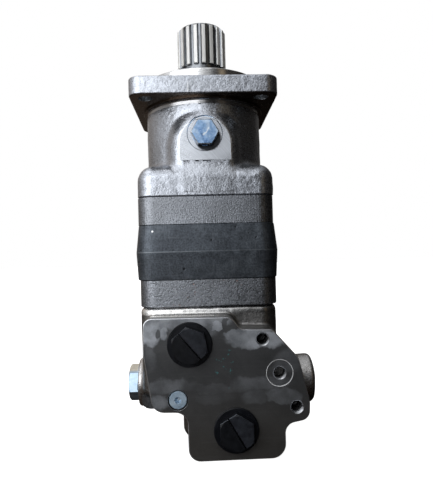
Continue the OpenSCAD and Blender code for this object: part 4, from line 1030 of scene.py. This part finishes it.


# material 5 in these profiles is painted shade deep in the holes and in the gap round the face plug
holes = [
    (-18.9, -253.8, [(18.2, FY, 2), (16.67, FY + 1.6, 1), (16.67, FY + 20, 1)]),
    (21.5, -332.4, [(18.2, FY, 2), (16.67, FY + 1.6, 1), (16.67, FY + 20, 1)]),
    (62.4, -282.3, [(12.5, FY, 4), (11.9, FY + 0.05, 2), (11.7, FY + 0.35, 0), (6.2, FY + 0.4, 3), (5.5, FY + 1.2, 3)] + thread(5.5, 0.75, 1.5, 1.7, 7) + [(5.4, FY + 14, 5), (0, FY + 14.5, 5)]),
    (47.6, -251.1, [(6.3, FY, 3), (5.3, FY + 1.0, 3)] + thread(5.3, 0.75, 1.5, 1.0, 10) + [(5.2, FY + 21, 5), (0, FY + 23, 5)]),
    (77.3, -313.6, [(6.3, FY, 3), (5.3, FY + 1.0, 3)] + thread(5.3, 0.75, 1.5, 1.0, 10) + [(5.2, FY + 21, 5), (0, FY + 23, 5)]),
    (-30.7, -303.8, [(9.5, FY, 2), (9.3, FY + 0.3, 5), (9.3, FY + 1.6, 5), (8.25, FY + 1.7, 5), (8.25, FY + 14, 1)]),
]
edge_mat = mat_machined("face_edge", (0.52, 0.53, 0.55), 0.34, lines=500, direction="none")
ob = plate_mesh("port_face", OUTLINE, None, FY, 10.0, 0.9, (M["face"], M["cast_valve"], edge_mat, M["thread"], M["ring"], M["depth"]), holes)
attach(ob, "housing")


# milled pad of the case drain boss, with its spotface and seal groove
arc = [(0.3 + 25.3 * math.cos(math.radians(a)), -64.1 + 25.3 * math.sin(math.radians(a))) for a in range(0, 181, 4)]
pad_outline = np.array(arc + [(-25.0, -80.4), (25.6, -80.4)])
pad_holes = [(0.3, -54.3, [(17.6, -64.1, 2), (17.0, -63.55, 2), (16.9, -63.45, 0), (11.6, -63.45, 2), (11.2, -63.2, 1), (11.2, -60.8, 1), (9.7, -60.7, 1), (9.6, -52.0, 1)])]
pad_edge = mat_machined("pad_edge", (0.86, 0.88, 0.90), 0.22, lines=500, direction="none")
ob = plate_mesh("case_drain_pad", pad_outline, None, -64.1, 0.5, 0.25, (M["pad"], M["cast"], pad_edge, M["thread"]), pad_holes)
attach(ob, "housing")


# return spring of the selector spool
SX0, SX1, SR, SW = 50.3, 94.7, 8.7, 1.05
coil = []
turns, per = 8.6, 28
for i in range(int(turns * per) + 1):
    q = i / per
    if q < 0.9:
        xx = SX0 + SW + 2.2 * q
    elif q > turns - 0.9:
        xx = SX1 - SW - 2.2 * (turns - q)
    else:
        xx = SX0 + SW + 1.98 + (SX1 - SX0 - 2 * SW - 3.96) * (q - 0.9) / (turns - 1.8)
    a = 2 * math.pi * q
    ca, sa = math.cos(a), math.sin(a)
    coil.append([(xx + SW * math.sin(b), SY + (SR + SW * math.cos(b)) * ca, SZ + (SR + SW * math.cos(b)) * sa) for b in (2 * math.pi * k / 10 for k in range(10))])
c0 = tuple(sum(v[k] for v in coil[0]) / 10 for k in range(3))
c1 = tuple(sum(v[k] for v in coil[-1]) / 10 for k in range(3))
ob = loft("selector_return_coil", coil, (M["dark"],), [0] * len(coil), c0, c1, angle=60.0)
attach(ob, "housing")
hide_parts("selector_spring")
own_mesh(ob)


# ------------------------------------------------------------------ floor, world and lights
bpy.ops.mesh.primitive_plane_add(size=12.0, location=(0, 1.0, -0.3605))
floor = bpy.context.object
floor.name = "floor"
fm = Mat("floor_pale")
fm.done(fm.ramp(fm.noise(2.0, 2.0, 0.5), [(0.3, (0.88, 0.88, 0.875)), (0.7, (0.91, 0.91, 0.905))]), 0.8, 0.0)
fm.b.inputs["Emission Color"].default_value = (1, 1, 1, 1)
fm.b.inputs["Emission Strength"].default_value = 0.96
floor.data.materials.append(fm.m)
floor.visible_glossy = False
floor.visible_diffuse = False

world = bpy.data.worlds.new("studio")
bpy.context.scene.world = world
world.use_nodes = True
wt = world.node_tree
wt.nodes.clear()


def wn(kind, **k):
    x = wt.nodes.new(kind)
    for a, v in k.items():
        setattr(x, a, v)
    return x


def wmath(op, a, b=0.0):
    x = wn("ShaderNodeMath", operation=op)
    for i, v in enumerate((a, b)):
        if isinstance(v, (int, float)):
            x.inputs[i].default_value = v
        else:
            wt.links.new(v, x.inputs[i])
    return x.outputs[0]


def wramp(fac, stops):
    x = wn("ShaderNodeValToRGB")
    e = x.color_ramp.elements
    while len(e) < len(stops):
        e.new(0.5)
    for el, (p, c) in zip(e, stops):
        el.position = p
        el.color = (*c, 1.0)
    wt.links.new(fac, x.inputs[0])
    return x.outputs[0]


wo = wn("ShaderNodeOutputWorld")
tc = wn("ShaderNodeTexCoord")
sp = wn("ShaderNodeSeparateXYZ")
wt.links.new(tc.outputs["Generated"], sp.inputs[0])
# compass angle in the studio, 0.5 in front of the port face, smaller to the left
az = wmath("ADD", wmath("DIVIDE", wmath("ARCTAN2", sp.outputs[0], wmath("MULTIPLY", sp.outputs[1], -1.0)), 2 * math.pi), 0.5)


def A(deg):
    return 0.5 + deg / 360.0


around = wramp(az, [(0.0, (0.44, 0.41, 0.38)), (A(-168), (0.70, 0.67, 0.64)), (A(-146), (0.28, 0.235, 0.20)), (A(-112), (0.50, 0.475, 0.455)), (A(-60), (0.95, 0.97, 1.00)),
                    (A(-11), (0.50, 0.52, 0.55)), (A(-3), (0.26, 0.27, 0.29)), (A(6), (0.09, 0.093, 0.10)), (A(18), (0.045, 0.047, 0.050)),
                    (A(30), (0.045, 0.045, 0.045)), (A(36), (0.30, 0.24, 0.16)), (A(42), (0.26, 0.20, 0.13)), (A(46), (0.018, 0.016, 0.014)),
                    (A(120), (0.016, 0.014, 0.012)), (A(150), (0.10, 0.095, 0.09)), (A(174), (0.05, 0.045, 0.04)), (1.0, (0.44, 0.41, 0.38))])
elev = wn("ShaderNodeMapRange")
elev.inputs[1].default_value = -1
elev.inputs[2].default_value = 1
wt.links.new(sp.outputs[2], elev.inputs[0])


def E(deg):
    return 0.5 + 0.5 * math.sin(math.radians(deg))


tall = wramp(elev.outputs[0], [(0.0, (0.050, 0.036, 0.028)), (E(-25), (0.070, 0.052, 0.040)), (E(-12), (0.16, 0.14, 0.125)), (E(-4), (0.42, 0.41, 0.40)),
                               (E(4), (0.72, 0.72, 0.72)), (E(16), (0.95, 0.95, 0.95)), (E(40), (1.05, 1.05, 1.05)), (1.0, (1.1, 1.1, 1.1))])
mul = wn("ShaderNodeMix", data_type="RGBA", blend_type="MULTIPLY")
mul.inputs[0].default_value = 1.0
wt.links.new(around, mul.inputs[6])
wt.links.new(tall, mul.inputs[7])
# a soft ceiling over everything
high = wn("ShaderNodeMapRange")
high.interpolation_type = "SMOOTHSTEP"
high.inputs[1].default_value = 0.60
high.inputs[2].default_value = 0.92
wt.links.new(sp.outputs[2], high.inputs[0])
ceil = wn("ShaderNodeMix", data_type="RGBA", blend_type="MIX")
wt.links.new(high.outputs[0], ceil.inputs[0])
wt.links.new(mul.outputs[2], ceil.inputs[6])
side = wn("ShaderNodeMapRange")
side.inputs[1].default_value = -1.0
side.inputs[2].default_value = 1.0
wt.links.new(sp.outputs[0], side.inputs[0])
wt.links.new(wramp(side.outputs[0], [(0.0, (0.78, 0.78, 0.78)), (0.36, (0.84, 0.85, 0.87)), (0.47, (0.78, 0.79, 0.81)), (0.56, (0.66, 0.67, 0.685)), (0.70, (0.36, 0.365, 0.37)), (1.0, (0.10, 0.10, 0.10))]), ceil.inputs[7])
bg = wn("ShaderNodeBackground")
wt.links.new(ceil.outputs[2], bg.inputs[0])
bg.inputs[1].default_value = 1.0
bgc = wn("ShaderNodeBackground")
bgc.inputs[0].default_value = (1.0, 1.0, 1.0, 1)
bgc.inputs[1].default_value = 1.0
lp = wn("ShaderNodeLightPath")
mx = wn("ShaderNodeMixShader")
wt.links.new(lp.outputs["Is Camera Ray"], mx.inputs[0])
wt.links.new(bg.outputs[0], mx.inputs[1])
wt.links.new(bgc.outputs[0], mx.inputs[2])
wt.links.new(mx.outputs[0], wo.inputs[0])


def area(name, loc, target, size, power, color=(1, 1, 1), size_y=None):
    d = bpy.data.lights.new(name, "AREA")
    d.shape = "RECTANGLE"
    d.size = size
    d.size_y = size_y or size
    d.energy = power
    d.color = color
    o = bpy.data.objects.new(name, d)
    bpy.context.collection.objects.link(o)
    o.location = loc
    o.rotation_euler = (Vector(target) - Vector(loc)).to_track_quat("-Z", "Y").to_euler()
    return o


def softbox(name, x0, x1, z0, z1, y, radiance, color=(1, 1, 1)):
    """Large flat light in the plane y, facing the object."""
    w, h = x1 - x0, z1 - z0
    return area(name, ((x0 + x1) / 2, y, (z0 + z1) / 2), ((x0 + x1) / 2, 0, (z0 + z1) / 2), w, radiance * math.pi * w * h, color, h)


softbox("left_box", -1.10, -0.080, -0.27, 0.47, -0.57, 1.9, (0.97, 0.985, 1.0))
softbox("high_box", -0.13, 0.19, 0.26, 0.66, -0.56, 0.80, (0.97, 0.985, 1.0))
softbox("middle_box", -0.079, 0.025, -0.27, 0.62, -0.57, 0.60, (0.96, 0.98, 1.0))
softbox("upper_box", 0.026, 0.15, 0.08, 0.62, -0.57, 0.30, (0.97, 0.98, 1.0))
area("top", (-0.55, -0.2, 1.1), (0, 0, -0.1), 0.8, 2.5)

bpy.context.scene.view_settings.view_transform = "Standard"
bpy.context.scene.view_settings.look = "None"
